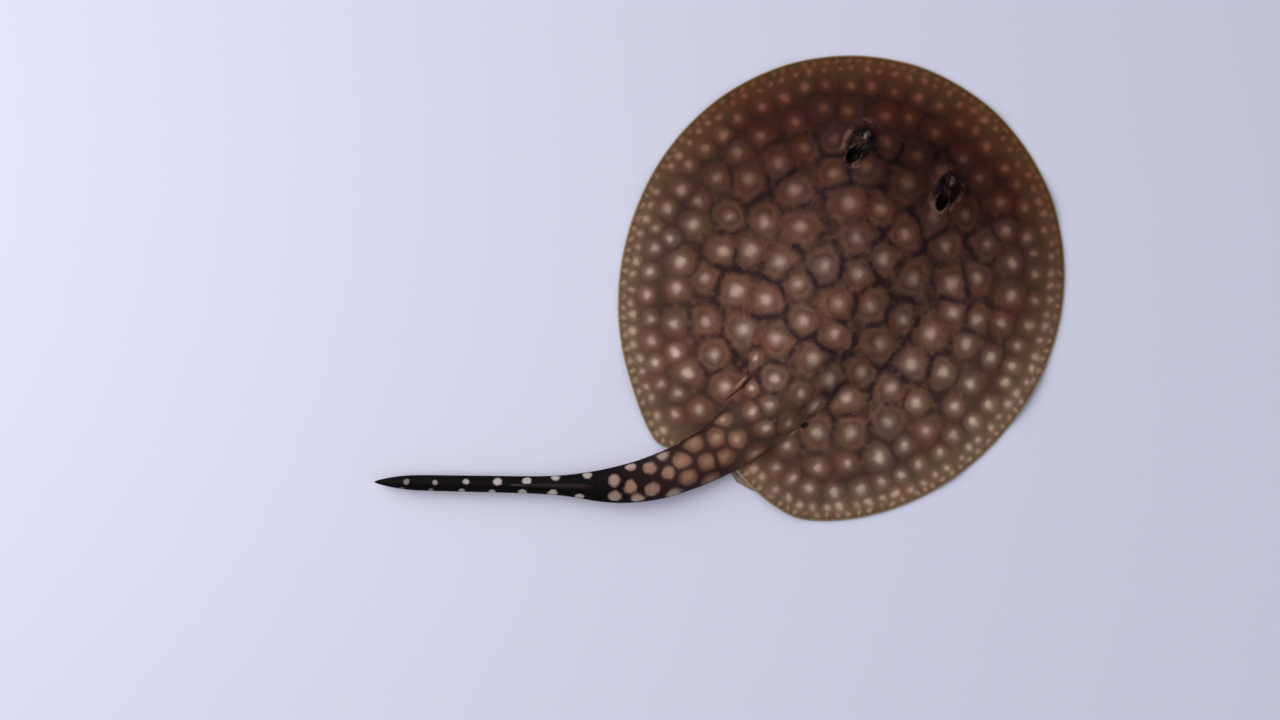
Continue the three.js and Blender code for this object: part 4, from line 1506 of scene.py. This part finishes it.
eye = Shader("eye")
level, above, angle = eye.field("gaze_level"), eye.field("gaze_above"), eye.field("gaze_angle")
streaks = eye.noise(0.35, 3, 1)
iris = eye.lay(
    paint("1d130b"),
    (streaks.ease(0.35, 0.65), paint("4d3519")),
    (angle.ease(0.75, 1.15), paint("0d0908")),
)
pupil_away = (level * level + above * above * 1.7).root()
flap_away = (level * level + (above - 0.34) * (above - 0.34) * 1.6).root()
crescent = pupil_away.ease(0.54, 0.48) * flap_away.ease(0.25, 0.31)
looking = eye.mix(crescent, iris, paint("020202"))
eye.surface.inputs["Specular IOR Level"].default_value = 0.1
eye.surface.inputs["Coat Weight"].default_value = 0.6
eye.surface.inputs["Coat Roughness"].default_value = 0.07
for side, name in ((1, "left"), (-1, "right")):
    ball = make_piece(f"eyeball_{name}", *eyeball(side))
    eye.finish(ball, Base_Color=looking, Roughness=0.18 + streaks * 0.12)
    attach(ball, "root")
    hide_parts(f"eye_{name}")
    print(ball.name, len(ball.data.polygons), "faces")

# %% [markdown]
# ## The sting
#
# The sting lies flat on the back of the tail in a dark sheath of skin that tapers to a point.
# It is an ellipse carried along the tail, which swells quickly at the root and runs out
# slowly at the tip, with a low rib along its middle.

# %% Sting
sting_size = {"root": 117, "tip": 146, "half": 1.15, "height": 1.25, "root_taper": 0.12,
              "point_taper": 0.45, "seat": 0.1, "axis": 0.42, "bulge": 0.5,
              "rib": 0.22, "rib_width": 0.25, "ripple": 0.05, "ripple_turn": 150}
sting_grid = (121, 41)  # points along it and round it


def sting():
    """The sheath by its share of the length and the angle round it: an ellipse that follows
    the tail, times a root that swells as a square root and a point that runs out as a power."""
    part, around = np.meshgrid(np.linspace(0, 1, sting_grid[0]),
                               np.linspace(0, 2 * np.pi, sting_grid[1]), indexing="ij")
    level, rise = np.cos(around), np.sin(around)
    full = np.sqrt(np.minimum(part / sting_size["root_taper"], 1))
    full = full * (1 - part) ** sting_size["point_taper"]
    along_tail = lerp(sting_size["root"], sting_size["tip"], part)
    rib = 1 + sting_size["rib"] * bell(level, 0, sting_size["rib_width"]) * (rise > 0)
    ripple = sting_size["ripple"] * np.sin(part * sting_size["ripple_turn"])
    edge = 1 + ripple * np.abs(level) ** 3
    px, py = place(along_tail, sting_size["half"] * full * edge * level)
    seat = along(TOP, along_tail) + sting_size["seat"]
    pz = seat + sting_size["height"] * full * (sting_size["axis"] + sting_size["bulge"] * rise * rib)
    points = np.stack([px, py, pz], axis=-1).reshape(-1, 3)
    shape, triangles, kept = closed(points, triangles_of(grid_faces(*sting_grid)))
    return shape, triangles, {"part": part.ravel()[kept], "ridge": np.sin(around).ravel()[kept]}


sheath = Shader("sting_sheath")
streak = sheath.noise(0.6, 3, 1)
sheath_colour = sheath.lay(
    paint("120b0e"),
    (streak.ease(0.35, 0.7), paint("1f1419")),
    (sheath.field("part").ease(0.75, 1.0), paint("3c302c")),  # the pale point
    (sheath.field("ridge").ease(0.8, 1.0) * 0.35, paint("2c1f25")),
)
sheath.surface.inputs["Specular IOR Level"].default_value = 0.1
sheath.surface.inputs["Coat Weight"].default_value = 0.03
spike = make_piece("sting_in_sheath", *sting())
sheath.finish(spike, Base_Color=sheath_colour, Roughness=0.38 + streak * 0.2,
              Normal=sheath.bump(streak, 0.05))
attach(spike, "root")
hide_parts("tail_sting")
print(spike.name, len(spike.data.polygons), "faces")

# %% [markdown]
# ## The floor
#
# A plain pale sheet, wide enough to fill the picture from every side. It isn't part of the ray.

# %% Floor
floor_half = 8000
corners = np.array([[-1, -1, 0], [1, -1, 0], [1, 1, 0], [-1, 1, 0]]) * floor_half
floor = make_piece("floor", corners, np.array([[0, 1, 2], [0, 2, 3]]))
plain = Shader("floor")
plain.finish(floor, Base_Color=paint("cfcfe2"), Roughness=0.7)
print("floor", 2 * floor_half * MM, "m wide")
